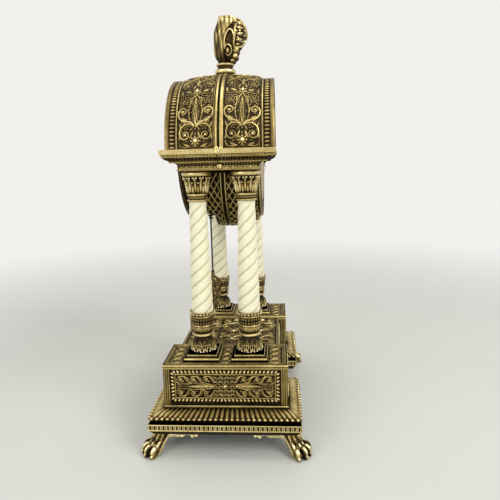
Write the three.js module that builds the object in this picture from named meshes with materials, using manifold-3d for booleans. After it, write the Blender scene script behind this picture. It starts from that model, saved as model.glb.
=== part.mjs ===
// Portico table clock in brass and bronze: two end pedestals on paw feet, four twisted columns,
// and a drum head with a canopy above a cornice and a belly below it.
// Millimetres. +X is the clock's right-hand end, -Y its dial side, +Z up, and the shelf is Z = 0.

import * as THREE from 'three';
import { mergeVertices } from 'three/addons/utils/BufferGeometryUtils.js';
import Module from 'manifold-3d';

const wasm = await Module();
wasm.setup();

// Shared clearances
const gap = 0.3;
const overrun = 5;

// Heights of the base
const castingFoot = 24;
const chamferHeight = 5.8;
const bandHeight = 6.8;
const coveHeight = 2.9;
const gadroonLipHeight = 1.5;
const gadroonBowlHeight = 2.5;
const gadroonCrownHeight = 1.5;
const filletHeight = 2.4;
const blockHeight = 41;
const slabThickness = 2.6;
const bandFoot = castingFoot + chamferHeight;
const bandTop = bandFoot + bandHeight;
const coveTop = bandTop + coveHeight;
const gadroonEdge = coveTop + gadroonLipHeight;
const gadroonMiddle = gadroonEdge + gadroonBowlHeight;
const gadroonTop = gadroonMiddle + gadroonCrownHeight;
const filletTop = gadroonTop + filletHeight;
const slabFoot = filletTop + blockHeight;
const slabTop = slabFoot + slabThickness;

// End pedestals, in plan
const pedestalX = 75;
const blockHalfX = 26.5;
const blockHalfY = 62.5;
const chamferReachX = 15.5;
const chamferReachY = 9.2;
const bandReachX = 19.5;
const bandReachY = 13.5;
const coveReachX = 15;
const coveReachY = 10;
const gadroonReachX = 18.3;
const gadroonReachY = 12.8;
const filletReach = 1.3;
const slabReach = 1.1;
const slabEdgeRise = 2.2;
const castingWall = 4.5;

// Middle section of the base and its deck
const middleHalfX = pedestalX - blockHalfX - gap;
const middleSetBack = 8.5;
const middleHalfY = blockHalfY - middleSetBack;
const deckSink = 2;
const deckThickness = 3;
const deckTop = slabTop - deckSink;
const middleTop = deckTop - deckThickness;
const middleBandReach = 8;
const middleChamferReach = 5;
const middleRib = 5;
const deckEndClearance = 1;
const deckOverhang = 1;
const deckHalfX = middleHalfX - deckEndClearance;
const deckHalfY = middleHalfY + deckOverhang;

// Relief panels on the pedestal ends
const panelSideMargin = 7;
const panelFootMargin = 3.6;
const panelHeadMargin = 2.8;
const panelHalfY = blockHalfY - panelSideMargin;
const panelFoot = filletTop + panelFootMargin;
const panelHead = slabFoot - panelHeadMargin;
const panelThickness = 0.9;
const ropeFrameWidth = 2.2;
const ropeFrameRise = 1.5;
const innerFrameInset = 5;
const innerFrameWidth = 1.2;

// Low relief cast on the long faces of the base and on the deck
const reliefRise = 1.1;
const reliefFrameWidth = 1.8;
const reliefMargin = 7;
const rosetteRadius = 4.6;
const leafLength = 13;
const leafWidth = 4.4;
const voluteRadius = 3.4;
const voluteWire = 0.9;
const deckMargin = 2.6;
const deckStrips = 3;

// Paw feet
const footOutX = 6.5;
const footOutY = 0.5;
const footX = pedestalX + blockHalfX + footOutX;
const footY = blockHalfY + footOutY;
const footSplay = 30;
const legReach = 9;
const pawLength = 12;
const pawWidth = 10.5;
const pawOffset = 12.5;
const bracketLength = 30;
const bracketWidth = 3.5;
const bracketHeight = 4.5;
const bracketInset = 3;

// Bottom plate, tie rods and nuts
const plateThickness = 2;
const plateInsetX = 5.5;
const plateInsetY = 12.5;
const plateHalfX = pedestalX + blockHalfX - plateInsetX;
const plateHalfY = blockHalfY - plateInsetY;
const rodRadius = 3;
const boreRadius = 3.3;
const rodTail = 7;
const nutFlatRadius = 5.8;
const nutHeight = 5;
const rodGrip = 11.5;

// Columns
const columnInset = 1;
const columnX = pedestalX - columnInset;
const columnY = 24.6;
const plinthHalf = 18.3;
const plinthUpperHalf = 15.6;
const plinthStep = 2.8;
const plinthHeight = 5.5;
const baseHeight = 39.5;
const shaftLength = 117.8;
const plinthTop = slabTop + plinthHeight;
const shaftFoot = plinthTop + baseHeight;
const shaftHead = shaftFoot + shaftLength;
const shaftFootRadius = 11.4;
const shaftHeadRadius = 8.6;
const shaftSwell = 0.35;
const bedDepth = 3.8;
const bedTop = shaftFoot + bedDepth;
const bedRadius = 13.7;
const capitalRadius = 15;
const capitalHeight = 30.7;
const corniceFoot = shaftHead + capitalHeight;
const rodHead = corniceFoot + rodGrip;

// Cornice
const corniceHeight = 20;
const corniceOverhangX = 26;
const corniceTop = corniceFoot + corniceHeight;
const corniceHalfX = columnX + corniceOverhangX;
const corniceHalfY = 55.2;
const corniceRecessX = 10;
const corniceRecessY = 16.7;

// Canopy: an arch about the drum's centre, springing from the cornice
const drumSink = 2.2;
const drumZ = corniceTop - drumSink;
const seamGap = 0.15;
const canopyRimRadius = 79.3;
const canopyCrown = 5.6;
const corniceLip = 0.9;
const canopyHalfY = corniceHalfY - corniceLip;
const canopyBandWidth = 13;
const canopyRimWall = 3;
const canopyCrownWall = 4.4;
const canopySoffit = canopyRimRadius - canopyRimWall;
const canopyInnerCrown = canopyRimRadius + canopyCrown - canopyCrownWall;
const padRise = 0.6;
const canopyPad = drumZ + canopyRimRadius + canopyCrown + padRise;
const flangeWidth = 16.3;
const flangeInner = canopySoffit - flangeWidth;
const flangeThickness = 3;
const seamRidgeReach = 4;
const seamRidgeRise = 0.9;

// Drum faces: the front face carries the dial, the back face the rear plate
const dialSink = 14.3;
const rearSink = 17.9;
const drumFrontY = dialSink - canopyHalfY;
const drumBackY = canopyHalfY - rearSink;
const drumBore = 55;
const faceRingRadius = 72;
const hoopInner = 51;
const hoopOuter = 57;
const hoopReach = 9;

// Belly: a bowl about a lower centre, narrow enough to pass between the capitals
const bellyDrop = 21.3;
const bellyZ = drumZ - bellyDrop;
const bellyRadius = 61.5;
const bellyWall = 4;
const bellyEndWall = 3;
const bellyOpening = 50;

// Pendulum slot in the belly
const slotHalfX = 40;
const slotHalfY = 11.2;
const slotHeight = 40;
const pendulumY = -23.1;

// Dial side
const surroundDepth = 4.3;
const surroundInner = 57;
const dialRadius = 61;
const dialThickness = 1.3;
const dialHole = 4.1;
const doorOuter = 60;
const doorInner = 52;
const doorThickness = 2.5;
const doorRebate = 1.6;
const rebateWidth = 2.6;
const glassThickness = 1.1;
const glassRise = 4;
const hingeRadius = 2;
const hingePinRadius = 1;
const hingeLugLength = 5;
const hingeKnuckle = 8;
const doorHingeX = -(doorOuter + hingeRadius + hingeRadius);

// Back
const rearPlateThickness = 2.3;
const rearLip = 51;
const rearLipThickness = 0.9;
const rearDoorRadius = 54;
const rearInner = rearDoorRadius + gap * 2;
const rearDoorThickness = 1.5;
const rearHingeOut = 5;
const rearHingeX = -(rearDoorRadius + rearHingeOut);
const rearKnobInset = 8;
const rearKnobX = rearDoorRadius - rearKnobInset;
const rearKnobRadius = 3;
const rearKnobLength = 4;

// Movement, hands and setting knob
const caseHalfX = 28;
const caseDrop = 30.3;
const caseHeight = 46;
const caseFoot = drumZ - caseDrop;
const caseHead = caseFoot + caseHeight;
const caseDepth = 16;
const bayHeight = 17.5;
const bayDepth = 19.5;
const batteryRadius = 7.2;
const batteryLength = 50.2;
const bushRadius = 3.7;
const bushReach = 0.9;
const hourTubeRadius = 2.6;
const minuteArborRadius = 1.6;
const tubeWall = 0.7;
const handThickness = 0.6;
const handClearance = 1.1;
const handPitch = 1.3;
const hourHandY = drumFrontY - dialThickness - handClearance;
const minuteHandY = hourHandY - handPitch;
const hourHandLength = 34;
const minuteHandLength = 50;
const handWidth = 5;
const handTail = 11;
const hourHubRadius = 5;
const minuteHubRadius = 4;
const minuteHandAngle = 60;
const hourHandAngle = -55;
const handNutRadius = 2.8;
const handNutLength = 2;
const knobRadius = 6;
const knobThickness = 4;
const knobStem = 2;
const tubeSink = 3.4;

// Pendulum
const pivotDrop = 18.3;
const pivotZ = drumZ - pivotDrop;
const pivotPinRadius = 1.2;
const pivotHeadRadius = 2.4;
const hangerWidth = 5;
const hangerThickness = 1.2;
const hangerLength = 52.4;
const hangerFoot = pivotZ - hangerLength;
const hookWidthY = 5;
const hookWidthX = 6;
const hookHeight = 4.8;
const pendulumRodRadius = 0.95;
const rodBelowHanger = 65.3;
const bobHeight = 54;
const pendulumRodFoot = hangerFoot - rodBelowHanger;
const bobTop = pendulumRodFoot - gap;
const bobFoot = bobTop - bobHeight;
const bobHalfWidth = 20;
const bobThickness = 5;
const bobTwist = -16;
const bobRingRadius = 4.2;
const bobRingWire = 1.2;

// Finial and its collar
const collarFoot = canopyPad;
const collarHeight = 12.7;
const collarTop = collarFoot + collarHeight;
const collarRadius = 11.6;
const finialHeight = 49.5;
const finialTop = collarTop + finialHeight;
const finialHalfX = 17;
const finialReachFront = 10.5;
const finialReachBack = 26.5;
const studRadius = 2.5;
const studBore = 2.8;
const studSink = 6.8;
const studFoot = canopyPad - studSink;

// Finishes
function finish(color, roughness, metalness) {
  return new THREE.MeshStandardMaterial({ color, roughness, metalness });
}
const antiqueBrass = finish(0x9a7b3c, 0.38, 1);
const darkBronze = finish(0x5a4526, 0.45, 1);
const brightBrass = finish(0xc9a85a, 0.28, 1);
const ivoryStone = finish(0xf3ead0, 0.45, 0);
const steel = finish(0x8c8f92, 0.4, 1);
const blackPlastic = finish(0x17171a, 0.5, 0);
const whiteEnamel = finish(0xf2efe4, 0.35, 0);
const clearGlass = finish(0xdfe8ea, 0.05, 0);

// Solids from three.js geometry
function toManifold(geometry) {
  const bare = geometry.clone();
  bare.deleteAttribute('normal');
  bare.deleteAttribute('uv');
  const merged = mergeVertices(bare, 1e-4);
  const mesh = new wasm.Mesh({
    numProp: 3,
    vertProperties: new Float32Array(merged.attributes.position.array),
    triVerts: new Uint32Array(merged.index.array),
  });
  return new wasm.Manifold(mesh);
}

function toGeometry(solid) {
  const mesh = solid.getMesh();
  const geometry = new THREE.BufferGeometry();
  geometry.setAttribute('position', new THREE.BufferAttribute(new Float32Array(mesh.vertProperties), 3));
  geometry.setIndex(new THREE.BufferAttribute(new Uint32Array(mesh.triVerts), 1));
  geometry.computeVertexNormals();
  return geometry;
}

function join(first, ...others) {
  return others.reduce((sum, other) => sum.add(other), first);
}

function cut(first, ...others) {
  return others.reduce((rest, other) => rest.subtract(other), first);
}

function box(x0, x1, y0, y1, z0, z1) {
  const geometry = new THREE.BoxGeometry(x1 - x0, y1 - y0, z1 - z0);
  geometry.translate((x0 + x1) / 2, (y0 + y1) / 2, (z0 + z1) / 2);
  return toManifold(geometry);
}

function uprightRod(x, y, z0, z1, radius, sides = 12) {
  const geometry = new THREE.CylinderGeometry(radius, radius, z1 - z0, sides);
  geometry.rotateX(Math.PI / 2);
  geometry.translate(x, y, (z0 + z1) / 2);
  return toManifold(geometry);
}

function crossRod(x, z, y0, y1, radius, sides = 48) {
  const geometry = new THREE.CylinderGeometry(radius, radius, y1 - y0, sides);
  geometry.translate(x, (y0 + y1) / 2, z);
  return toManifold(geometry);
}

// Turned piece on an upright axis: points are [radius, height], from the lower axis point to the upper
function turned(points, sides) {
  const profile = points.map(([radius, height]) => new THREE.Vector2(radius, height));
  const geometry = new THREE.LatheGeometry(profile, sides);
  geometry.rotateX(Math.PI / 2);
  return toManifold(geometry);
}

// Turned piece about the drum's axis: points are [radius, depth], in order of rising depth outside
function drumTurned(points, centreZ, sides) {
  const profile = points.map(([radius, depth]) => new THREE.Vector2(radius, depth));
  const geometry = new THREE.LatheGeometry(profile, sides);
  geometry.translate(0, 0, centreZ);
  return toManifold(geometry);
}

// Skin over rings of equal count, each counter-clockwise seen from above, listed from below upwards
function loft(rings) {
  const count = rings[0].length;
  const positions = rings.flat().flatMap((point) => [point.x, point.y, point.z]);
  const index = [];
  for (let level = 0; level < rings.length - 1; level += 1) {
    for (let side = 0; side < count; side += 1) {
      const next = (side + 1) % count;
      const a = level * count + side;
      const b = level * count + next;
      const c = a + count;
      const d = b + count;
      index.push(a, b, d, a, d, c);
    }
  }
  const last = (rings.length - 1) * count;
  for (let side = 1; side < count - 1; side += 1) {
    index.push(0, side + 1, side, last, last + side, last + side + 1);
  }
  const geometry = new THREE.BufferGeometry();
  geometry.setAttribute('position', new THREE.Float32BufferAttribute(positions, 3));
  geometry.setIndex(index);
  return toManifold(geometry);
}

function rectangleRing(x, y, halfX, halfY, z) {
  return [[-1, -1], [1, -1], [1, 1], [-1, 1]].map(
    ([signX, signY]) => new THREE.Vector3(x + signX * halfX, y + signY * halfY, z));
}

function ellipseRing(x, y, halfX, halfY, z, turn, sides) {
  const ring = [];
  for (let side = 0; side < sides; side += 1) {
    const angle = (2 * Math.PI * side) / sides;
    const point = new THREE.Vector3(halfX * Math.cos(angle), halfY * Math.sin(angle), 0);
    point.applyAxisAngle(new THREE.Vector3(0, 0, 1), turn);
    ring.push(point.add(new THREE.Vector3(x, y, z)));
  }
  return ring;
}

const clock = new THREE.Group();

function place(name, solid, material) {
  const mesh = new THREE.Mesh(toGeometry(solid), material);
  mesh.name = name;
  clock.add(mesh);
}

const ends = [['right', 1], ['left', -1]];
const corners = [
  ['front_right', 1, -1], ['front_left', -1, -1], ['rear_right', 1, 1], ['rear_left', -1, 1],
];

// Outer form of an end pedestal, grown on all sides when a neighbour is cut to fit it
function pedestalForm(side, grown) {
  const levels = [
    [castingFoot - grown, chamferReachX, chamferReachY],
    [bandFoot, bandReachX, bandReachY],
    [bandTop, bandReachX, bandReachY],
    [bandTop, coveReachX, coveReachY],
    [coveTop, coveReachX, coveReachY],
    [gadroonEdge, gadroonReachX, gadroonReachY],
    [gadroonMiddle, (gadroonReachX + filletReach) / 2, (gadroonReachY + filletReach) / 2],
    [gadroonTop, filletReach, filletReach],
    [filletTop, filletReach, filletReach],
    [filletTop, 0, 0],
    [slabFoot - slabEdgeRise, 0, 0],
    [slabFoot - slabEdgeRise, slabReach / 2, slabReach / 2],
    [slabFoot, slabReach / 2, slabReach / 2],
  ];
  return loft(levels.map(([z, reachX, reachY]) => rectangleRing(
    side * pedestalX, 0, blockHalfX + reachX + grown, blockHalfY + reachY + grown, z)));
}

function columnBores(z0, z1) {
  return corners.map(([, signX, signY]) => uprightRod(
    signX * columnX, signY * columnY, z0, z1, boreRadius, 10));
}

// Relief in one plane, rising along Z: a frame, a middle rosette, and on each side of it leaves along
// the middle line with a volute above and below every leaf
function reliefPanel(halfU, halfV) {
  const frame = cut(
    box(-halfU, halfU, -halfV, halfV, -gap, reliefRise),
    box(-halfU + reliefFrameWidth, halfU - reliefFrameWidth,
      -halfV + reliefFrameWidth, halfV - reliefFrameWidth, -overrun, overrun));
  const pieces = [uprightRod(0, 0, -gap, reliefRise, rosetteRadius, 8)];
  const pitch = leafLength + voluteRadius;
  const room = halfU - reliefFrameWidth - rosetteRadius - gap;
  const count = Math.floor(room / leafLength);
  for (const sign of [-1, 1]) {
    for (let unit = 0; unit < count; unit += 1) {
      const u = sign * (rosetteRadius + gap + leafLength / 2 + unit * Math.min(pitch, room / count));
      const leaf = new THREE.SphereGeometry(1, 8, 4);
      leaf.scale(leafLength / 2, leafWidth / 2, reliefRise);
      leaf.translate(u, 0, 0);
      pieces.push(toManifold(leaf));
      for (const fold of [-1, 1]) {
        const volute = new THREE.TorusGeometry(voluteRadius, voluteWire, 4, 8);
        volute.translate(u, fold * (halfV - reliefFrameWidth + leafWidth / 2) / 2, 0);
        pieces.push(toManifold(volute));
      }
    }
  }
  return join(frame, ...pieces);
}

// The same relief set upright on a face that looks towards -Y or +Y
function faceRelief(panel, side, x, reach, z) {
  return panel.rotate([90, 0, side < 0 ? 0 : 180]).translate([x, side * reach, z]);
}

function makePedestals() {
  const middleZ = (panelFoot + panelHead) / 2;
  const panel = reliefPanel(blockHalfX - reliefMargin, (panelHead - panelFoot) / 2);
  for (const [name, side] of ends) {
    const hollow = box(
      side * pedestalX - blockHalfX + castingWall, side * pedestalX + blockHalfX - castingWall,
      -blockHalfY + castingWall, blockHalfY - castingWall,
      castingFoot - overrun, slabFoot - castingWall);
    const casting = cut(pedestalForm(side, 0), hollow, ...columnBores(0, slabTop + overrun));
    const reliefs = [-1, 1].map((face) => faceRelief(panel, face, side * pedestalX, blockHalfY, middleZ));
    place(`pedestal_${name}`, join(casting, ...reliefs), antiqueBrass);

    const slab = box(
      side * pedestalX - blockHalfX - slabReach, side * pedestalX + blockHalfX + slabReach,
      -blockHalfY - slabReach, blockHalfY + slabReach, slabFoot, slabTop);
    place(`pedestal_top_${name}`, cut(slab, ...columnBores(0, slabTop + overrun)), antiqueBrass);
  }
}

// Relief panel: a thin plaque with a raised rope frame and a raised inner frame
function makeEndPanels() {
  const panelFrame = (inset, width, rise, face) => {
    const outer = box(face, face + panelThickness + rise,
      -panelHalfY + inset, panelHalfY - inset, panelFoot + inset, panelHead - inset);
    const inner = box(face + panelThickness, face + panelThickness + rise + overrun,
      -panelHalfY + inset + width, panelHalfY - inset - width,
      panelFoot + inset + width, panelHead - inset - width);
    return cut(outer, inner);
  };
  const face = pedestalX + blockHalfX;
  const plaque = join(
    panelFrame(0, ropeFrameWidth, ropeFrameRise, face),
    panelFrame(innerFrameInset, innerFrameWidth, ropeFrameRise / 2, face));
  for (const [name, side] of ends) {
    const panel = side > 0 ? plaque : plaque.rotate([0, 0, 180]);
    place(`end_panel_${name}`, panel, darkBronze);
  }
}

function makeMiddle() {
  const levels = [
    [castingFoot, middleChamferReach],
    [bandFoot, middleBandReach],
    [bandTop, middleBandReach],
    [bandTop, middleBandReach / 2],
    [coveTop, middleBandReach / 2],
    [gadroonEdge, middleBandReach - filletReach],
    [gadroonTop, filletReach],
    [filletTop, filletReach],
    [filletTop, 0],
    [middleTop, 0],
  ];
  const form = loft(levels.map(([z, reach]) => rectangleRing(
    0, 0, middleHalfX, middleHalfY + reach, z)));
  const hollows = [-1, 1].map((side) => {
    const near = side * middleRib / 2;
    const far = side * (blockHalfX + castingWall);
    return box(Math.min(near, far), Math.max(near, far),
      -middleHalfY + castingWall, middleHalfY - castingWall,
      castingFoot - overrun, middleTop - castingWall);
  });
  const middle = cut(form, ...hollows, pedestalForm(1, gap), pedestalForm(-1, gap));
  const panel = reliefPanel(middleHalfX - reliefMargin / 2, (panelHead - panelFoot) / 2 - reliefFrameWidth);
  const middleZ = (filletTop + middleTop) / 2;
  const faces = [-1, 1].map((face) => faceRelief(panel, face, 0, middleHalfY, middleZ));
  place('middle_section', join(middle, ...faces), antiqueBrass);

  const deck = box(-deckHalfX, deckHalfX, -deckHalfY, deckHalfY, middleTop, deckTop);
  const stripHalf = (deckHalfY - deckMargin) / deckStrips;
  const strip = reliefPanel(deckHalfX - deckMargin, stripHalf);
  const strips = [];
  for (let index = 0; index < deckStrips; index += 1) {
    strips.push(strip.translate([0, stripHalf * (2 * index + 1 - deckStrips), deckTop]));
  }
  place('deck_panel', join(deck, ...strips), antiqueBrass);
}

// Paw foot: sections from the ground up, as [height, outward place, half length, half width]
const pawShares = [
  [0, 0.92, 0.78, 0.82], [0.07, 1.0, 0.95, 0.97], [0.22, 1.08, 1, 1], [0.42, 1.0, 0.94, 0.93],
  [0.58, 0.72, 0.8, 0.82], [0.75, 0.34, 0.68, 0.76], [0.9, 0.06, 0.7, 0.82], [1, 0, 0.74, 0.86],
];

function makeFeet() {
  for (const [name, signX, signY] of corners) {
    const splay = THREE.MathUtils.degToRad(footSplay);
    const out = new THREE.Vector2(signX * Math.sin(splay), signY * Math.cos(splay));
    const turn = Math.atan2(out.y, out.x);
    const rings = pawShares.map(([height, offset, length, width]) => ellipseRing(
      signX * footX + out.x * offset * pawOffset, signY * footY + out.y * offset * pawOffset,
      length * pawLength, width * pawWidth, height * castingFoot, turn, 12));
    const paw = loft(rings);
    const alongY = loft([
      rectangleRing(signX * (footX + bracketInset), signY * (footY - legReach),
        bracketWidth / 2, legReach / 2, castingFoot - bracketHeight),
      rectangleRing(signX * (footX + bracketInset), signY * (footY - bracketLength / 2),
        bracketWidth / 2, bracketLength / 2, castingFoot),
    ]);
    const alongX = loft([
      rectangleRing(signX * (footX - legReach), signY * footY,
        legReach / 2, bracketWidth / 2, castingFoot - bracketHeight),
      rectangleRing(signX * (footX - bracketLength / 2), signY * footY,
        bracketLength / 2, bracketWidth / 2, castingFoot),
    ]);
    place(`foot_${name}`, join(paw, alongY, alongX), antiqueBrass);
  }
}

// Steel plate under the three castings, tie rods through the columns, and their nuts
function makeTies() {
  const plateFoot = castingFoot - plateThickness;
  const plate = box(-plateHalfX, plateHalfX, -plateHalfY, plateHalfY, plateFoot, castingFoot);
  place('bottom_plate', cut(plate, ...columnBores(0, slabTop)), steel);
  for (const [name, signX, signY] of corners) {
    const x = signX * columnX;
    const y = signY * columnY;
    place(`tie_rod_${name}`, uprightRod(x, y, plateFoot - rodTail, rodHead, rodRadius, 10), steel);
    const nut = uprightRod(x, y, plateFoot - nutHeight, plateFoot, nutFlatRadius, 6);
    const thread = uprightRod(x, y, 0, slabTop, boreRadius, 10);
    place(`tie_nut_${name}`, cut(nut, thread), steel);
  }
}

// Column base: shares of the bead rim's radius and of the height from plinth to rim
const baseShares = [
  [1.1, 0], [1.12, 0.03], [1.02, 0.12], [0.99, 0.2], [0.84, 0.3], [0.62, 0.35], [0.62, 0.38],
  [0.82, 0.4], [0.82, 0.46], [0.66, 0.48], [0.78, 0.52], [0.79, 0.62], [0.86, 0.65], [0.84, 0.69],
  [0.9, 0.74], [0.92, 0.88], [0.97, 0.9], [1, 0.93], [1, 0.98], [0.96, 1],
];

// Capital: shares of its disc's radius and of its height
const capitalShares = [
  [0.69, 0], [0.69, 0.07], [0.57, 0.09], [0.61, 0.12], [0.57, 0.15], [0.69, 0.18], [0.69, 0.25],
  [0.6, 0.27], [0.66, 0.45], [0.72, 0.6], [1, 0.74], [0.98, 0.78], [0.8, 0.81], [0.97, 0.83],
  [1, 0.88], [0.97, 0.93], [0.83, 0.94], [0.83, 1],
];

function turnedFromShares(shares, radius, z0, z1) {
  const points = shares.map(([r, h]) => [r * radius, z0 + h * (z1 - z0)]);
  return turned([[0, z0], ...points, [0, z1]], 16);
}

function makeColumns() {
  const seat = turned([
    [0, shaftFoot], [shaftFootRadius + gap, shaftFoot],
    [shaftFootRadius + gap, bedTop + overrun], [0, bedTop + overrun],
  ], 16);
  const bore = uprightRod(0, 0, 0, corniceTop, boreRadius, 10);
  const bed = cut(turnedFromShares(baseShares, bedRadius, plinthTop, bedTop), seat, bore);
  const capital = cut(turnedFromShares(capitalShares, capitalRadius, shaftHead, corniceFoot), bore);

  // Slender shaft that tapers upwards with a slight swell
  const shaftPoints = [];
  const shaftSteps = 5;
  for (let step = 0; step <= shaftSteps; step += 1) {
    const share = step / shaftSteps;
    const swell = shaftSwell * Math.sin(Math.PI * share);
    shaftPoints.push([
      THREE.MathUtils.lerp(shaftFootRadius, shaftHeadRadius, share) + swell,
      THREE.MathUtils.lerp(shaftFoot, shaftHead, share),
    ]);
  }
  const shaft = cut(turned([[0, shaftFoot], ...shaftPoints, [0, shaftHead]], 20), bore);

  const plinth = cut(join(
    box(-plinthHalf, plinthHalf, -plinthHalf, plinthHalf, slabTop, slabTop + plinthStep),
    box(-plinthUpperHalf, plinthUpperHalf, -plinthUpperHalf, plinthUpperHalf,
      slabTop + plinthStep / 2, plinthTop)), bore);

  for (const [name, signX, signY] of corners) {
    const at = [signX * columnX, signY * columnY, 0];
    place(`column_plinth_${name}`, plinth.translate(at), antiqueBrass);
    place(`column_base_${name}`, bed.translate(at), darkBronze);
    place(`column_shaft_${name}`, shaft.translate(at), ivoryStone);
    place(`capital_${name}`, capital.translate(at), brightBrass);
  }
}

// Half spaces on the two sides of the seam
function halfSpace(side) {
  const far = canopyHalfY * 2;
  const wide = corniceHalfX * 2;
  return side < 0
    ? box(-wide, wide, -far, -seamGap, 0, finialTop * 2)
    : box(-wide, wide, seamGap, far, 0, finialTop * 2);
}

const halves = [['front', -1], ['rear', 1]];

// Cornice profile from the underside up: shares of the recess still left, and of the height
const corniceShares = [
  [1, 0], [1, 0.175], [0.9, 0.29], [0.79, 0.36], [0.53, 0.39], [0.48, 0.46], [0.26, 0.54],
  [0.12, 0.65], [0.08, 0.75], [0, 0.775], [0, 1],
];

function makeCornice() {
  const form = loft(corniceShares.map(([recess, height]) => rectangleRing(
    0, 0, corniceHalfX - recess * corniceRecessX, corniceHalfY - recess * corniceRecessY,
    THREE.MathUtils.lerp(corniceFoot, corniceTop, height))));
  const past = corniceHalfY + overrun;
  const bore = crossRod(0, drumZ, -past, past, drumBore, 48);
  const frontRecess = crossRod(0, drumZ, -past, drumFrontY, faceRingRadius + gap, 48);
  const backRecess = crossRod(0, drumZ, drumBackY, past, faceRingRadius + gap, 48);
  const holes = columnBores(corniceFoot - overrun, rodHead + gap);
  const shoulders = cut(form, bore, frontRecess, backRecess, ...holes);
  const hoop = cut(
    crossRod(0, drumZ, -hoopReach, hoopReach, hoopOuter, 48),
    crossRod(0, drumZ, -hoopReach - overrun, hoopReach + overrun, hoopInner, 48));
  const whole = join(shoulders, hoop);
  for (const [name, side] of halves) {
    place(`cornice_${name}`, whole.intersect(halfSpace(side)), antiqueBrass);
  }
}

// Canopy: crowned towards the ridged seam, with an inner flange behind the drum's face
function makeCanopy() {
  const studHole = uprightRod(0, 0, drumZ, finialTop, studBore, 12);
  const pad = uprightRod(0, 0, canopyPad, finialTop, collarRadius + gap, 32);
  const above = box(-corniceHalfX, corniceHalfX, -corniceHalfY, corniceHalfY, corniceTop, finialTop);
  const crownSteps = 5;
  for (const [name, side] of halves) {
    const face = side < 0 ? drumFrontY : drumBackY;
    const flangeBack = face - side * flangeThickness;
    const rim = side * canopyHalfY;
    const band = side * (canopyHalfY - canopyBandWidth);
    const outer = [[canopyRimRadius, rim], [canopyRimRadius, band]];
    for (let step = 1; step < crownSteps; step += 1) {
      const angle = (step / crownSteps) * Math.PI / 2;
      outer.push([canopyRimRadius + canopyCrown * Math.sin(angle), band * Math.cos(angle)]);
    }
    const crownRadius = canopyRimRadius + canopyCrown;
    const ridge = side * seamRidgeReach;
    const ridgeRadius = crownRadius + seamRidgeRise;
    outer.push([crownRadius, ridge], [ridgeRadius, ridge], [ridgeRadius, 0]);
    const inner = [
      [canopyInnerCrown, 0], [canopyInnerCrown, flangeBack / 2], [canopySoffit, flangeBack],
      [flangeInner, flangeBack], [flangeInner, face], [canopySoffit, face], [canopySoffit, rim],
    ];
    const loop = [...outer, ...inner, outer[0]];
    const shell = drumTurned(side < 0 ? loop : loop.reverse(), drumZ, 44);
    const trimmed = cut(shell, studHole, pad).intersect(above).intersect(halfSpace(side));
    place(`canopy_${name}`, trimmed, antiqueBrass);
  }
}

// Belly outline: share of the depth to its end face, and share of its radius
const bellyShares = [
  [1, 0.82], [0.96, 0.87], [0.91, 0.9], [0.74, 0.93], [0.62, 0.95], [0.46, 0.976], [0.3, 0.99],
  [0.12, 1], [0, 1],
];

function makeBelly() {
  const below = box(-corniceHalfX, corniceHalfX, -corniceHalfY, corniceHalfY, 0, corniceFoot);
  const slot = box(-slotHalfX, slotHalfX, pendulumY - slotHalfY, pendulumY + slotHalfY,
    0, bellyZ - slotHeight);
  for (const [name, side] of halves) {
    const face = side < 0 ? drumFrontY : drumBackY;
    const wallBack = face - side * bellyEndWall;
    const outer = bellyShares.map(([depth, radius]) => [radius * bellyRadius, depth * face]);
    const insideRadius = bellyShares[0][1] * bellyRadius - bellyWall;
    const bowl = [
      ...outer, [bellyRadius - bellyWall, 0], [bellyRadius - bellyWall, face / 3],
      [insideRadius, wallBack], [0, wallBack], [0, face], outer[0],
    ];
    const opening = crossRod(0, drumZ, Math.min(face, wallBack) - overrun,
      Math.max(face, wallBack) + overrun, bellyOpening, 48);
    const shell = drumTurned(side < 0 ? bowl : bowl.reverse(), bellyZ, 44);
    const cuts = side < 0 ? [opening, slot] : [opening];
    place(`belly_${name}`, cut(shell, ...cuts).intersect(below).intersect(halfSpace(side)), darkBronze);
  }
}

function drumRing(inner, outer, y0, y1) {
  return cut(
    crossRod(0, drumZ, y0, y1, outer, 48),
    crossRod(0, drumZ, y0 - overrun, y1 + overrun, inner, 48));
}

// Hinge barrel on an upright axis, with an arm of rectangular section to the plate that carries it
function hingeBarrel(x, y, z0, z1, armX, armY) {
  const arm = box(Math.min(x, armX), Math.max(x, armX), Math.min(y, armY), Math.max(y, armY), z0, z1);
  return join(uprightRod(x, y, z0, z1, hingeRadius, 10), arm);
}

// Two fixed barrels above and below a door's own barrel, and the pin through all three
function fixedHinge(x, y, armX, armY) {
  const near = hingeKnuckle / 2 + gap;
  const far = near + hingeLugLength;
  return join(
    hingeBarrel(x, y, drumZ + near, drumZ + far, armX, armY),
    hingeBarrel(x, y, drumZ - far, drumZ - near, armX, armY),
    uprightRod(x, y, drumZ - far, drumZ + far, hingePinRadius, 10));
}

function doorBarrel(x, y, armX, armY) {
  return cut(
    hingeBarrel(x, y, drumZ - hingeKnuckle / 2, drumZ + hingeKnuckle / 2, armX, armY),
    uprightRod(x, y, 0, finialTop, hingePinRadius + gap, 10));
}

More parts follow.
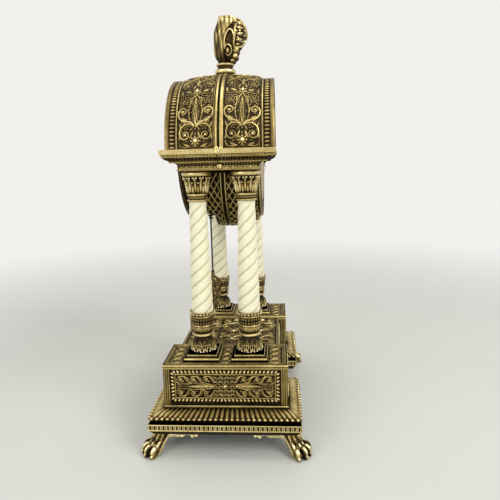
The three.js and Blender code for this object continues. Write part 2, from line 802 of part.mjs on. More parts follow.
function makeDialSide() {
  const face = drumFrontY - surroundDepth;
  const hingeY = face - hingeRadius - gap;
  const seat = crossRod(0, drumZ, drumFrontY - dialThickness, drumFrontY + overrun, dialRadius + gap, 48);
  const ring = cut(drumRing(surroundInner, faceRingRadius, face, drumFrontY), seat);
  const lugs = fixedHinge(doorHingeX, hingeY, doorHingeX - hingeRadius, face + gap);
  place('dial_surround', join(ring, lugs), brightBrass);

  const dial = cut(
    crossRod(0, drumZ, drumFrontY - dialThickness, drumFrontY, dialRadius, 48),
    crossRod(0, drumZ, drumFrontY - overrun, drumFrontY + overrun, dialHole, 24));
  place('dial', dial, whiteEnamel);

  const doorBack = face - gap;
  const doorFace = doorBack - doorThickness;
  const rebateRadius = doorInner + rebateWidth;
  const rebate = crossRod(0, drumZ, doorBack - doorRebate, doorBack + overrun, rebateRadius, 48);
  const barrel = doorBarrel(doorHingeX, hingeY, -doorOuter + hingeRadius, hingeY - hingeRadius / 2);
  const bezel = cut(drumRing(doorInner, doorOuter, doorFace, doorBack), rebate);
  place('front_door', join(bezel, barrel), brightBrass);

  // Domed watch glass of even thickness, whose flat rim sits in the door's rebate
  const domeRadius = doorInner - gap;
  const glassFace = doorBack - doorRebate;
  const bow = [];
  const bowSteps = 6;
  for (let step = 0; step <= bowSteps; step += 1) {
    const share = step / bowSteps;
    bow.push([domeRadius * share, glassRise * (1 - share * share)]);
  }
  bow.push([rebateRadius - gap, 0]);
  const outside = bow.map(([radius, rise]) => [radius, glassFace - rise]);
  const inside = bow.map(([radius, rise]) => [radius, glassFace + glassThickness - rise]).reverse();
  place('dial_glass', drumTurned([...outside, ...inside], drumZ, 48), clearGlass);
}

function makeBack() {
  const face = drumBackY + rearPlateThickness;
  const hingeY = face + hingeRadius + gap;
  const notches = [1, -1].map((side) => uprightRod(
    side * columnX, columnY, 0, corniceFoot + gap, capitalRadius + gap * 2, 24));
  const ring = cut(drumRing(rearInner, faceRingRadius, drumBackY, face), ...notches);
  const lip = drumRing(rearLip, rearInner + gap, drumBackY, drumBackY + rearLipThickness);
  const lugs = fixedHinge(rearHingeX, hingeY, rearHingeX - hingeRadius, face - gap);
  place('rear_plate', join(ring, lip, lugs), darkBronze);

  const doorBack = drumBackY + rearLipThickness;
  const doorFace = doorBack + rearDoorThickness;
  const disc = crossRod(0, drumZ, doorBack, doorFace, rearDoorRadius, 48);
  const barrel = doorBarrel(rearHingeX, hingeY, -rearDoorRadius + hingeRadius, hingeY + hingeRadius / 2);
  const foot = box(-rearDoorRadius + hingeRadius / 2, -rearDoorRadius + hingeRadius * 2,
    doorFace - gap, hingeY + hingeRadius / 2, drumZ - hingeKnuckle / 2, drumZ + hingeKnuckle / 2);
  const knob = crossRod(rearKnobX, drumZ, doorFace - gap, doorFace + rearKnobLength,
    rearKnobRadius, 14);
  place('rear_door', join(disc, barrel, foot, knob), antiqueBrass);
}

// Flat hand pointing along an angle from twelve o'clock, clockwise seen from the dial side
function hand(length, width, y, hubRadius, angle) {
  const shape = new THREE.Shape();
  shape.moveTo(-width / 4, -handTail);
  shape.lineTo(width / 4, -handTail);
  shape.lineTo(width / 4, length / 3);
  shape.lineTo(width / 2, length * 2 / 3);
  shape.lineTo(0, length);
  shape.lineTo(-width / 2, length * 2 / 3);
  shape.lineTo(-width / 4, length / 3);
  shape.closePath();
  const geometry = new THREE.ExtrudeGeometry(shape, { depth: handThickness, bevelEnabled: false });
  geometry.rotateX(Math.PI / 2);
  geometry.translate(0, y + handThickness, 0);
  geometry.rotateY(THREE.MathUtils.degToRad(angle));
  geometry.translate(0, 0, drumZ);
  return join(toManifold(geometry), crossRod(0, drumZ, y, y + handThickness, hubRadius, 20));
}

function makeMovement() {
  const caseBack = drumFrontY + caseDepth;
  const bayBack = drumFrontY + bayDepth;
  const tubeEnd = drumFrontY + tubeSink;
  const bushFace = drumFrontY - dialThickness - bushReach / 2;
  const body = box(-caseHalfX, caseHalfX, drumFrontY, caseBack, caseFoot, caseHead);
  const bay = box(-caseHalfX, caseHalfX, drumFrontY, bayBack, caseHead - overrun, caseHead + bayHeight);
  const bush = crossRod(0, drumZ, bushFace, drumFrontY + overrun, bushRadius, 20);
  const batteryZ = caseHead + bayHeight / 2;
  const batteryY = bayBack - batteryRadius - gap * 2;
  const trough = box(-batteryLength / 2 - gap, batteryLength / 2 + gap,
    batteryY - batteryRadius - gap, bayBack + overrun,
    batteryZ - batteryRadius - gap, batteryZ + batteryRadius + gap);
  const well = crossRod(0, drumZ, bushFace - overrun, tubeEnd + gap, hourTubeRadius + gap, 20);
  const knobWell = crossRod(0, drumZ, caseBack - knobStem - gap, caseBack + overrun,
    minuteArborRadius + gap, 20);
  const pivotPin = join(
    crossRod(0, pivotZ, caseBack - gap, caseBack + gap * 3 + hangerThickness, pivotPinRadius, 12),
    crossRod(0, pivotZ, caseBack + gap * 2 + hangerThickness,
      caseBack + gap * 4 + hangerThickness, pivotHeadRadius, 12));
  const movement = join(cut(join(body, bay, bush), trough, well, knobWell), pivotPin);
  place('movement_case', movement, blackPlastic);

  const battery = new THREE.CylinderGeometry(batteryRadius, batteryRadius, batteryLength, 20);
  battery.rotateZ(Math.PI / 2);
  battery.translate(0, batteryY, batteryZ);
  place('battery', toManifold(battery), steel);

  const hourTube = cut(
    crossRod(0, drumZ, hourHandY, tubeEnd, hourTubeRadius, 20),
    crossRod(0, drumZ, hourHandY - overrun, tubeEnd + overrun, hourTubeRadius - tubeWall, 20));
  const hourBlade = cut(hand(hourHandLength, handWidth, hourHandY, hourHubRadius, hourHandAngle),
    crossRod(0, drumZ, hourHandY - overrun, tubeEnd + overrun, hourTubeRadius - tubeWall, 20));
  place('hour_hand', join(hourBlade, hourTube), darkBronze);

  const arbor = crossRod(0, drumZ, minuteHandY, tubeEnd, minuteArborRadius, 20);
  const minuteBlade = hand(minuteHandLength, handWidth, minuteHandY, minuteHubRadius, minuteHandAngle);
  place('minute_hand', join(minuteBlade, arbor), darkBronze);
  const nut = crossRod(0, drumZ, minuteHandY - handNutLength, minuteHandY, handNutRadius, 16);
  place('hand_nut', nut, brightBrass);

  const stem = crossRod(0, drumZ, caseBack - knobStem, caseBack + gap + knobThickness / 2,
    minuteArborRadius, 20);
  const grip = crossRod(0, drumZ, caseBack + gap, caseBack + gap + knobThickness, knobRadius, 20);
  place('setting_knob', join(stem, grip), blackPlastic);
  return caseBack;
}

function makePendulum(caseBack) {
  const strapY = caseBack + gap;
  const strap = join(
    box(-hangerWidth / 2, hangerWidth / 2, strapY, strapY + hangerThickness, hangerFoot, pivotZ),
    crossRod(0, pivotZ, strapY, strapY + hangerThickness, hangerWidth / 2, 16));
  const eye = crossRod(0, pivotZ, strapY - overrun, strapY + overrun, pivotPinRadius + gap, 12);
  place('pendulum_hanger', cut(strap, eye), blackPlastic);

  const hookFoot = hangerFoot - hookHeight;
  const hook = box(-hookWidthX / 2, hookWidthX / 2, pendulumY - hookWidthY / 2, pendulumY + hookWidthY / 2,
    hookFoot, hangerFoot);
  const wire = uprightRod(0, pendulumY, pendulumRodFoot, hookFoot + hookHeight / 2, pendulumRodRadius, 8);
  place('pendulum_rod', join(hook, wire), blackPlastic);

  // Lens-shaped openwork bob on a small ring, turned a little about its rod
  const bobMiddle = (bobTop - bobRingRadius * 2 + bobFoot) / 2;
  const bobHalfHeight = (bobTop - bobRingRadius * 2 - bobFoot) / 2;
  const lens = new THREE.SphereGeometry(1, 20, 10);
  lens.scale(bobHalfWidth, bobThickness / 2, bobHalfHeight + bobRingWire / 2);
  lens.translate(0, 0, bobMiddle);
  const ring = new THREE.TorusGeometry(bobRingRadius - bobRingWire, bobRingWire, 8, 16);
  ring.rotateX(Math.PI / 2);
  ring.translate(0, 0, bobTop - bobRingRadius);
  const bob = join(toManifold(lens), toManifold(ring)).rotate([0, 0, bobTwist]);
  place('pendulum_bob', bob.translate([0, pendulumY, 0]), antiqueBrass);
}

// Collar: shares of its radius and height
const collarShares = [
  [0.86, 0], [1, 0.08], [1, 0.36], [0.8, 0.48], [0.72, 0.6], [0.84, 0.68], [0.86, 0.9], [0.6, 1],
];

// Finial: height, forward reach, backward reach and half width, as shares of its own sizes
const finialShares = [
  [0, 0.5, 0.3, 0.4], [0.04, 0.64, 0.56, 0.55], [0.15, 0.85, 0.66, 0.7], [0.27, 0.95, 0.74, 0.8],
  [0.4, 1, 0.88, 0.92], [0.54, 1, 1, 1], [0.68, 0.85, 0.97, 0.95], [0.82, 0.6, 0.85, 0.8],
  [0.93, 0.4, 0.6, 0.55], [1, 0.29, 0.1, 0.25],
];

function makeFinial() {
  const points = collarShares.map(([r, h]) => [
    r * collarRadius, THREE.MathUtils.lerp(collarFoot, collarTop, h)]);
  const collar = cut(
    turned([[0, collarFoot], ...points, [0, collarTop]], 24),
    uprightRod(0, 0, studFoot, finialTop, studBore, 12));
  place('finial_collar', collar, brightBrass);

  const rings = finialShares.map(([height, front, back, width]) => {
    const y0 = -front * finialReachFront;
    const y1 = back * finialReachBack;
    return ellipseRing(0, (y0 + y1) / 2, width * finialHalfX, (y1 - y0) / 2,
      THREE.MathUtils.lerp(collarTop, finialTop, height), 0, 16);
  });
  const stud = uprightRod(0, 0, studFoot, collarTop + overrun, studRadius, 12);
  place('finial', join(loft(rings), stud), antiqueBrass);
}

makePedestals();
makeEndPanels();
makeMiddle();
makeFeet();
makeTies();
makeColumns();
makeCornice();
makeCanopy();
makeBelly();
makeDialSide();
makeBack();
makePendulum(makeMovement());
makeFinial();

export default clock;
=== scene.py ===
import math

import bmesh
import bpy
from mathutils import Matrix, Vector, noise


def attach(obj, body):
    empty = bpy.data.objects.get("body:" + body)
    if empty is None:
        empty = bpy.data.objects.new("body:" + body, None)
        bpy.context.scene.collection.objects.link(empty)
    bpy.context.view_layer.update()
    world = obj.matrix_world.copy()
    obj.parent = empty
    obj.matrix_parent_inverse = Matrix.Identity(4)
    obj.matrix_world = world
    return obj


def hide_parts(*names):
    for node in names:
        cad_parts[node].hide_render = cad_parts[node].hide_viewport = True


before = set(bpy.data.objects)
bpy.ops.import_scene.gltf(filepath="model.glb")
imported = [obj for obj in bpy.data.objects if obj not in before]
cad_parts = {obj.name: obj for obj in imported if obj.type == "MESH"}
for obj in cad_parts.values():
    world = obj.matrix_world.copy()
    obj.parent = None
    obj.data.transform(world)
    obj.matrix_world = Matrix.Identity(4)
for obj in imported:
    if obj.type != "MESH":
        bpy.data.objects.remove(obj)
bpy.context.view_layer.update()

MM = 0.001
ENDS = (("right", 1), ("left", -1))
CORNERS = (("front_right", 1, -1), ("front_left", -1, -1), ("rear_right", 1, 1), ("rear_left", -1, 1))
DRUM_Z = 302.3
BELLY_Z = 281.0
COLUMN_X = 74.0
COLUMN_Y = 24.6


# Finishes

class Socket:
    """A shader socket that Python's operators act on by adding Math nodes."""

    def __init__(self, maker, link):
        self.maker = maker
        self.link = link

    def maths(self, operation, first, second=0.0):
        return self.maker.node("ShaderNodeMath", {"operation": operation}, {0: first, 1: second}).out("Value")

    def __add__(self, other):
        return self.maths("ADD", self, other)

    def __radd__(self, other):
        return self.maths("ADD", other, self)

    def __sub__(self, other):
        return self.maths("SUBTRACT", self, other)

    def __rsub__(self, other):
        return self.maths("SUBTRACT", other, self)

    def __mul__(self, other):
        return self.maths("MULTIPLY", self, other)

    def __rmul__(self, other):
        return self.maths("MULTIPLY", other, self)

    def __truediv__(self, other):
        return self.maths("DIVIDE", self, other)

    def __pow__(self, other):
        return self.maths("POWER", self, other)

    def sine(self):
        return self.maths("SINE", self)

    def size(self):
        return self.maths("ABSOLUTE", self)

    def above(self, level):
        return self.maths("GREATER_THAN", self, level)


class Made:
    """A node just added, with its outputs by name."""

    def __init__(self, maker, node):
        self.maker = maker
        self.made = node

    def out(self, name):
        return Socket(self.maker, self.made.outputs[name])


class Finish:
    """A material whose nodes are added one call at a time."""

    def __init__(self, name, **constants):
        self.material = bpy.data.materials.new(name)
        self.material.use_nodes = True
        self.tree = self.material.node_tree
        self.shader = next(n for n in self.tree.nodes if n.type == "BSDF_PRINCIPLED")
        for socket, value in constants.items():
            self.shader.inputs[socket.replace("_", " ")].default_value = value

    def node(self, kind, settings=None, inputs=None):
        node = self.tree.nodes.new(kind)
        for name, value in (settings or {}).items():
            if name == "stops":
                ramp = node.color_ramp
                while len(ramp.elements) < len(value):
                    ramp.elements.new(0.5)
                for element, (place, colour) in zip(ramp.elements, value):
                    element.position = place
                    element.color = colour
            else:
                setattr(node, name, value)
        for name, value in (inputs or {}).items():
            self.feed(node.inputs[name], value)
        return Made(self, node)

    def feed(self, socket, value):
        if isinstance(value, Socket):
            self.tree.links.new(value.link, socket)
        else:
            socket.default_value = value

    def set(self, name, value):
        self.feed(self.shader.inputs[name], value)

    def place(self):
        return self.node("ShaderNodeTexCoord").out("Object")

    def noise(self, scale, detail=3.0, roughness=0.55, where=None):
        return self.node("ShaderNodeTexNoise", None, {
            "Vector": where or self.place(), "Scale": scale, "Detail": detail, "Roughness": roughness}).out("Fac")

    def attribute(self, name):
        return self.node("ShaderNodeAttribute", {"attribute_name": name}).out("Fac")

    def ramp(self, value, *stops):
        return self.node("ShaderNodeValToRGB", {"stops": stops}, {"Fac": value}).out("Color")

    def bump(self, height, strength, distance):
        return self.node("ShaderNodeBump", None, {
            "Height": height, "Strength": strength, "Distance": distance}).out("Normal")


def tone(red, green, blue):
    """A colour as it looks on a screen, from 0 to 255, as the shader wants it."""
    def channel(value):
        value /= 255
        return value / 12.92 if value <= 0.04045 else ((value + 0.055) / 1.055) ** 2.4
    return (channel(red), channel(green), channel(blue), 1.0)


def aged_metal(name, stops, rough=0.36, level=None, grime=0.35, metallic=1.0, shade_bands=(), dark_beyond=None):
    """Cast metal: stops run from the dark of the recesses, painted shade together with patina, to the
    rubbed tops, wear together with painted highlight. level is how bright a plain piece is, wear and
    painted light together, or None where the piece's own points say so; the heights listed for the
    recessed bands, in metres, are where painted shade keeps it dark. dark_beyond is the distance from
    the drum's axis past which it is dark."""
    finish = Finish(name, Metallic=metallic)
    cloud = finish.noise(95.0, 4.0, 0.6)
    fine = finish.noise(620.0, 2.0, 0.5)
    worn = finish.attribute("worn") if level is None else level
    height = finish.node("ShaderNodeSeparateXYZ", None, {"Vector": finish.place()}).out("Z") if shade_bands else None
    # Painted shade: the recessed bands between these heights are darkened.
    for low, high in shade_bands:
        worn = worn - height.above(low) * (1.0 - height.above(high)) * (level - 0.08)
    if dark_beyond:
        spot = finish.node("ShaderNodeSeparateXYZ", None, {"Vector": finish.place()})
        across, up = spot.out("X"), spot.out("Z") - DRUM_Z * MM
        reach = (across * across + up * up) ** 0.5
        worn = worn - reach.above(dark_beyond) * (level - 0.1)
    shade = worn + (cloud - 0.5) * grime + (fine - 0.5) * (grime * 0.6)
    finish.set("Base Color", finish.ramp(shade, *stops))
    finish.set("Roughness", rough + 0.16 - shade * 0.16 + (fine - 0.5) * 0.12)
    finish.set("Normal", finish.bump(fine * 0.5 + cloud, 0.25, 0.0004))
    return finish.material


# Ramp from the painted shade of hollows, with patina, through the brass's own olive tone, to rubbed wear and painted
# highlight at the top.
BRASS_STOPS = (
    (0.0, tone(24, 20, 13)), (0.25, tone(60, 51, 32)), (0.5, tone(119, 102, 62)),
    (0.75, tone(189, 168, 107)), (1.0, tone(241, 227, 176)),
)
carved_brass = aged_metal("carved_brass", BRASS_STOPS)
plain_brass = aged_metal("plain_brass", BRASS_STOPS, level=0.62)
dull_brass = aged_metal("dull_brass", BRASS_STOPS, level=0.42)
# Painted shade with patina: the ground behind trellis and relief is kept dark as the shade of a recess.
shade_and_patina_ground = aged_metal("shade_and_patina_ground", BRASS_STOPS, level=0.1, rough=0.5)
bright_edge = aged_metal("bright_edge", BRASS_STOPS, level=0.8, rough=0.3, grime=0.25)
# Painted shade in the pedestal's cove and gadroon recesses, and in the cornice's recessed band.
pedestal_brass = aged_metal("pedestal_brass", BRASS_STOPS, level=0.5, shade_bands=((0.0364, 0.0453), (0.0305, 0.0359)))
cornice_brass = aged_metal("cornice_brass", BRASS_STOPS, level=0.8, shade_bands=((0.2873, 0.2998),))
back_bronze = aged_metal("back_bronze", BRASS_STOPS, level=0.3, rough=0.6, metallic=0.7)
surround_brass = aged_metal("surround_brass", BRASS_STOPS, level=0.62, dark_beyond=0.0714)


def ivory_finish():
    finish = Finish("ivory_shaft", Roughness=0.28, Coat_Weight=0.25, Coat_Roughness=0.12)
    # Painted shade: the attribute darkens the shaft down in its twist grooves.
    depth = finish.attribute("worn")
    veil = finish.noise(60.0, 3.0)
    shade = depth + (veil - 0.5) * 0.3
    finish.set("Base Color", finish.ramp(
        shade, (0.0, tone(186, 176, 130)), (0.5, tone(226, 219, 180)), (1.0, tone(242, 238, 208))))
    finish.set("Normal", finish.bump(veil, 0.08, 0.0003))
    return finish.material


def plastic_finish():
    finish = Finish("black_plastic", Roughness=0.42)
    grain = finish.noise(900.0, 2.0)
    finish.set("Base Color", finish.ramp(grain, (0.3, tone(14, 14, 15)), (0.7, tone(24, 24, 26))))
    finish.set("Normal", finish.bump(grain, 0.1, 0.0002))
    return finish.material


def steel_finish():
    finish = Finish("zinc_steel", Metallic=1.0)
    grain = finish.noise(300.0, 3.0)
    finish.set("Base Color", finish.ramp(grain, (0.3, tone(150, 153, 158)), (0.7, tone(186, 189, 192))))
    finish.set("Roughness", 0.3 + grain * 0.2)
    return finish.material


def enamel_finish():
    finish = Finish("white_enamel", Roughness=0.22, Coat_Weight=0.3)
    veil = finish.noise(40.0, 3.0)
    finish.set("Base Color", finish.ramp(veil, (0.3, tone(243, 240, 229)), (0.7, tone(250, 248, 240))))
    return finish.material


def ink_finish():
    finish = Finish("dial_ink", Roughness=0.4)
    veil = finish.noise(500.0, 2.0)
    finish.set("Base Color", finish.ramp(veil, (0.3, tone(18, 16, 15)), (0.7, tone(34, 31, 30))))
    return finish.material


def glass_finish():
    finish = Finish("clear_glass", Roughness=0.02, IOR=1.45, Transmission_Weight=1.0)
    smear = finish.noise(30.0, 2.0)
    finish.set("Base Color", finish.ramp(smear, (0.3, tone(250, 252, 252)), (0.7, tone(255, 255, 255))))
    return finish.material


def battery_finish():
    finish = Finish("battery_wrap", Roughness=0.35, Coat_Weight=0.4)
    across = finish.node("ShaderNodeSeparateXYZ", None, {"Vector": finish.place()}).out("X")
    finish.set("Base Color", finish.ramp(
        across * 20 + 0.5, (0.0, tone(60, 62, 66)), (0.72, tone(62, 64, 70)), (0.74, tone(196, 148, 62))))
    return finish.material


ivory = ivory_finish()
black_plastic = plastic_finish()
zinc_steel = steel_finish()
white_enamel = enamel_finish()
dial_ink = ink_finish()
clear_glass = glass_finish()
battery_wrap = battery_finish()

NODE_FINISHES = {
    "pedestal_top": dull_brass, "pedestal": pedestal_brass, "middle_section": pedestal_brass,
    "deck_panel": dull_brass,
    "end_panel": shade_and_patina_ground, "foot": plain_brass, "bottom_plate": zinc_steel, "tie": zinc_steel,
    "column_plinth": plain_brass, "column_base": plain_brass, "column_shaft": ivory, "capital": plain_brass,
    "cornice": cornice_brass, "canopy": plain_brass, "belly": shade_and_patina_ground, "dial_surround": surround_brass,
    "dial_glass": clear_glass, "dial": white_enamel, "front_door": bright_edge, "rear_plate": back_bronze,
    "rear_door": plain_brass, "hour_hand": dial_ink, "minute_hand": dial_ink, "hand_nut": bright_edge,
    "movement_case": black_plastic, "battery": battery_wrap, "setting_knob": black_plastic,
    "pendulum_hanger": black_plastic, "pendulum_rod": black_plastic, "pendulum_bob": plain_brass,
    "finial_collar": bright_edge, "finial": plain_brass,
}


def finish_nodes():
    longest_first = sorted(NODE_FINISHES, key=len, reverse=True)
    for name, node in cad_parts.items():
        key = next(k for k in longest_first if name.startswith(k))
        node.data.materials.clear()
        node.data.materials.append(NODE_FINISHES[key])


# Modelling

class Casting:
    """A mesh under way, in millimetres, whose points carry how bright the metal is painted there: rubbed
    wear with painted highlight on raised parts, painted shade with patina in hollows. Each shape is
    made by itself and then joined on, which stays quick however large the piece grows."""

    def __init__(self):
        self.bm = bmesh.new()
        self.worn = self.bm.verts.layers.float.new("worn")

    def shape(self):
        small = bmesh.new()
        return small, small.verts.layers.float.new("worn")

    def join(self, small, finish=0):
        if finish:
            for face in small.faces:
                face.material_index = finish
        mesh = bpy.data.meshes.new("shape")
        small.to_mesh(mesh)
        small.free()
        self.take(mesh)

    def take(self, mesh):
        self.bm.from_mesh(mesh)
        bpy.data.meshes.remove(mesh)

    def count(self):
        return len(self.bm.verts)

    def rub_and_shade(self, since, height_of, base=0.12, gain=0.62):
        """Brightens the points made since a count by how far each stands proud of its ground: painted highlight with
        rubbed wear on raised parts, painted shade with patina on the low ground.
        """
        self.bm.verts.ensure_lookup_table()
        for vert in self.bm.verts[since:]:
            vert[self.worn] = max(0.02, min(1.0, base + gain * height_of(vert.co)))

    def block(self, low, high, worn=0.6, finish=0, rounded=0.0):
        small, layer = self.shape()
        made = bmesh.ops.create_cube(small, size=1.0)["verts"]
        low, high = Vector(low), Vector(high)
        bmesh.ops.scale(small, vec=high - low, verts=made)
        bmesh.ops.translate(small, vec=(low + high) / 2, verts=made)
        if rounded:
            bmesh.ops.bevel(small, geom=list(small.edges), offset=rounded, segments=2, profile=0.5,
                            affect="EDGES", material=-1)
        for vert in small.verts:
            vert[layer] = worn
        self.join(small, finish)

    def ball(self, centre, size, worn=0.9, around=8, rows=5, turn=None, shape=None, finish=0):
        """An ellipsoid of half sizes size along the three directions in turn. shape scales its cross
        section by the place along the first of them."""
        small, layer = self.shape()
        turn = turn or Matrix.Identity(3)
        centre = Vector(centre)
        bmesh.ops.create_uvsphere(small, u_segments=around, v_segments=rows, radius=1.0)
        for vert in small.verts:
            along, side, up = vert.co.z, vert.co.y, vert.co.x
            swell = shape(along) if shape else 1.0
            vert[layer] = worn(along, side, up) if callable(worn) else worn
            vert.co = centre + turn @ Vector((along * size[0], side * size[1] * swell, up * size[2] * swell))
        self.join(small, finish)

    def bead(self, centre, radius, worn=0.9, fine=1):
        small, layer = self.shape()
        bmesh.ops.create_icosphere(small, subdivisions=fine, radius=radius)
        bmesh.ops.translate(small, vec=centre, verts=small.verts)
        for vert in small.verts:
            vert[layer] = worn
        self.join(small)

    def turned(self, profile, centre, axis, angle=2 * math.pi, steps=32, start=None, worn=None, finish=0):
        """Spins a profile of (radius, height) or (radius, height, brightness) about an axis; the brightness is rubbed
        wear with painted highlight and painted shade.
        """
        small, layer = self.shape()
        axis = Vector(axis)
        out = Vector(start) if start else Vector((1, 0, 0))
        verts = []
        for point in profile:
            vert = small.verts.new(Vector(centre) + out * point[0] + axis * point[1])
            vert[layer] = point[2] if len(point) > 2 else (0.6 if worn is None else worn)
            verts.append(vert)
        edges = [small.edges.new(pair) for pair in zip(verts, verts[1:])]
        whole = abs(angle - 2 * math.pi) < 1e-6
        bmesh.ops.spin(small, geom=verts + edges, cent=centre, axis=axis, dvec=(0, 0, 0), angle=angle,
                       steps=steps, use_merge=whole, use_normal_flip=False, use_duplicate=False)
        self.join(small, finish)

    def tubes(self, paths, worn=0.9, round_=1, finish=0):
        """Round wires: each path is a list of (point, radius)."""
        curve = bpy.data.curves.new("wire", "CURVE")
        curve.dimensions = "3D"
        curve.bevel_depth = 1.0
        curve.bevel_resolution = round_
        curve.use_fill_caps = True
        for path in paths:
            spline = curve.splines.new("POLY")
            spline.points.add(len(path) - 1)
            for point, (place, radius) in zip(spline.points, path):
                point.co = (*place, 1.0)
                point.radius = radius
        wire = bpy.data.objects.new("wire", curve)
        bpy.context.collection.objects.link(wire)
        seen = wire.evaluated_get(bpy.context.evaluated_depsgraph_get())
        mesh = bpy.data.meshes.new_from_object(seen)
        small = bmesh.new()
        small.from_mesh(mesh)
        layer = small.verts.layers.float.new("worn")
        for vert in small.verts:
            vert[layer] = worn(vert.co) if callable(worn) else worn
        self.join(small, finish)
        bpy.data.objects.remove(wire)
        bpy.data.curves.remove(curve)
        bpy.data.meshes.remove(mesh)

    def sheet(self, at, across, up, columns, rows, finish=0):
        """A grid laid on a surface: at gives (point, brightness) for shares across and up, the brightness being wear
        with painted light and shade.
        """
        small, layer = self.shape()
        bmesh.ops.create_grid(small, x_segments=columns, y_segments=rows, size=1.0)
        for vert in small.verts:
            u = across[0] + (across[1] - across[0]) * (vert.co.x + 1) / 2
            v = up[0] + (up[1] - up[0]) * (vert.co.y + 1) / 2
            vert.co, vert[layer] = at(u, v)
        self.join(small, finish)

    def leaf(self, at, root, tip, width, height, bend=0.0, lobes=0, blunt=0.7, rows=12, columns=6, curl=0.0):
        """A leaf laid on a surface at(u, v, h), with a rib, and lobed edges where lobes is over 0."""
        root, tip = Vector(root), Vector(tip)
        run = tip - root
        side = Vector((-run.y, run.x)).normalized()

        def place(across, along):
            half = width / 2 * max(0.02, math.sin(math.pi * min(1.0, along ** blunt)) ** 0.75)
            if lobes:
                half *= 0.72 + 0.28 * abs(math.cos(lobes * math.pi * along))
            middle = root + run * along + side * (bend * math.sin(math.pi * along))
            spot = middle + side * (half * across)
            crown = (1 - across * across) * (0.45 + 0.55 * math.sin(math.pi * min(1.0, along + 0.1)))
            rib = max(0.0, 1 - abs(across) * 5) * 0.35
            veins = 0.16 * math.cos(2 * math.pi * (max(lobes, 3) * along + abs(across) * 0.9))
            lift = height * (crown + rib + veins * (1 - abs(across))) - 0.25
            lift += curl * max(0.0, along - 0.7) * 3
            # Painted highlight with rubbed wear on the leaf's crown and rib, painted shade towards its edges.
            return at(spot.x, spot.y, lift), min(1.0, 0.28 + 0.6 * (crown + rib) + veins * 1.2)

        self.sheet(place, (-1, 1), (0, 1), columns, rows)

    def cells(self, origin, along, up, count, inset, depth, frame_wear_and_highlight=0.75, well_shade=0.05, out=None, narrow=1.0):
        """A strip of square cells, each a raised frame round a sunk well that narrow draws in; the frames are painted
        bright as highlight with wear, the wells dark as painted shade.
        """
        small, layer = self.shape()
        origin, along, up = Vector(origin), Vector(along), Vector(up)
        bmesh.ops.create_grid(small, x_segments=count, y_segments=1, size=1.0)
        for vert in small.verts:
            vert.co = origin + along * ((vert.co.x + 1) / 2) + up * ((vert.co.y + 1) / 2)
            vert[layer] = frame_wear_and_highlight
        outward = Vector(out) if out else along.cross(up)
        faces = list(small.faces)
        for face in faces:
            face.normal_update()
            if face.normal.dot(outward) < 0:
                face.normal_flip()
        for thickness, sink in ((inset, 0.0), (inset * 0.25, -depth)):
            bmesh.ops.inset_individual(small, faces=faces, thickness=thickness, depth=sink, use_even_offset=True)
            if sink == 0.0 and narrow < 1.0:
                way = along.normalized()
                for face in faces:
                    middle = face.calc_center_median()
                    for vert in face.verts:
                        vert.co -= way * ((vert.co - middle).dot(way) * (1 - narrow))
        for face in faces:
            for vert in face.verts:
                vert[layer] = well_shade
        self.join(small)

    def done(self, name, body, finishes, replaces=(), merge=0.0, outward=False, crease=38,
             mirror=None):
        bm = self.bm
        if mirror:
            bmesh.ops.scale(bm, vec=mirror, verts=bm.verts)
            if mirror[0] * mirror[1] * mirror[2] < 0:
                bmesh.ops.reverse_faces(bm, faces=bm.faces)
        if merge:
            bmesh.ops.remove_doubles(bm, verts=bm.verts, dist=merge)
        if outward:
            bmesh.ops.recalc_face_normals(bm, faces=bm.faces)
        bmesh.ops.scale(bm, vec=(MM, MM, MM), verts=bm.verts)
        bm.normal_update()
        for face in bm.faces:
            face.smooth = True
        limit = math.radians(crease)
        for edge in bm.edges:
            edge.smooth = edge.calc_face_angle(0.0) < limit
        mesh = bpy.data.meshes.new(name)
        bm.to_mesh(mesh)
        bm.free()
        for finish in finishes if isinstance(finishes, (list, tuple)) else [finishes]:
            mesh.materials.append(finish)
        obj = bpy.data.objects.new(name, mesh)
        bpy.context.collection.objects.link(obj)
        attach(obj, body)
        if replaces:
            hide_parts(*replaces)
        return obj


def spiral(centre, start_radius, end_radius, start, turns, steps=18):
    """Points of a flat spiral, from start degrees, winding by turns (negative is clockwise)."""
    points = []
    for step in range(steps + 1):
        share = step / steps
        radius = start_radius + (end_radius - start_radius) * share ** 0.8
        angle = math.radians(start) + turns * 2 * math.pi * share
        points.append((centre[0] + radius * math.cos(angle), centre[1] + radius * math.sin(angle)))
    return points


def bow(a, b, c, d, steps=10):
    """Points of a cubic curve."""
    points = []
    for step in range(steps + 1):
        t = step / steps
        s = 1 - t
        points.append(tuple(s ** 3 * a[i] + 3 * s * s * t * b[i] + 3 * s * t * t * c[i] + t ** 3 * d[i]
                            for i in (0, 1)))
    return points


def wire_on(at, points, thick, thin=None, lift=0.0):
    """A wire along flat points laid on a surface, tapering from thick to thin."""
    thin = thick if thin is None else thin
    last = max(1, len(points) - 1)
    return [(at(u, v, lift), thick + (thin - thick) * i / last) for i, (u, v) in enumerate(points)]


def flat(origin, u_way, v_way, out):
    """A flat ground: u and v in millimetres along two ways, and a lift off it."""
    origin, u_way, v_way, out = (Vector(value) for value in (origin, u_way, v_way, out))
    return lambda u, v, lift=0.0: origin + u_way * u + v_way * v + out * lift


def axes(along, up):
    """Directions of a small piece that runs along one way with its top the other way."""
    along = Vector(along).normalized()
    side = Vector(up).cross(along).normalized()
    return Matrix((along, side, along.cross(side))).transposed()


def lie(at, u, v, heading, lift=0.0):
    """Where a small piece lies on a ground, and its directions there; heading is in degrees from u to v."""
    middle = at(u, v, lift)
    step = 0.05
    turn = math.radians(heading)
    along = at(u + step * math.cos(turn), v + step * math.sin(turn), lift) - middle
    up = at(u, v, lift + step) - middle
    return middle, axes(along, up)


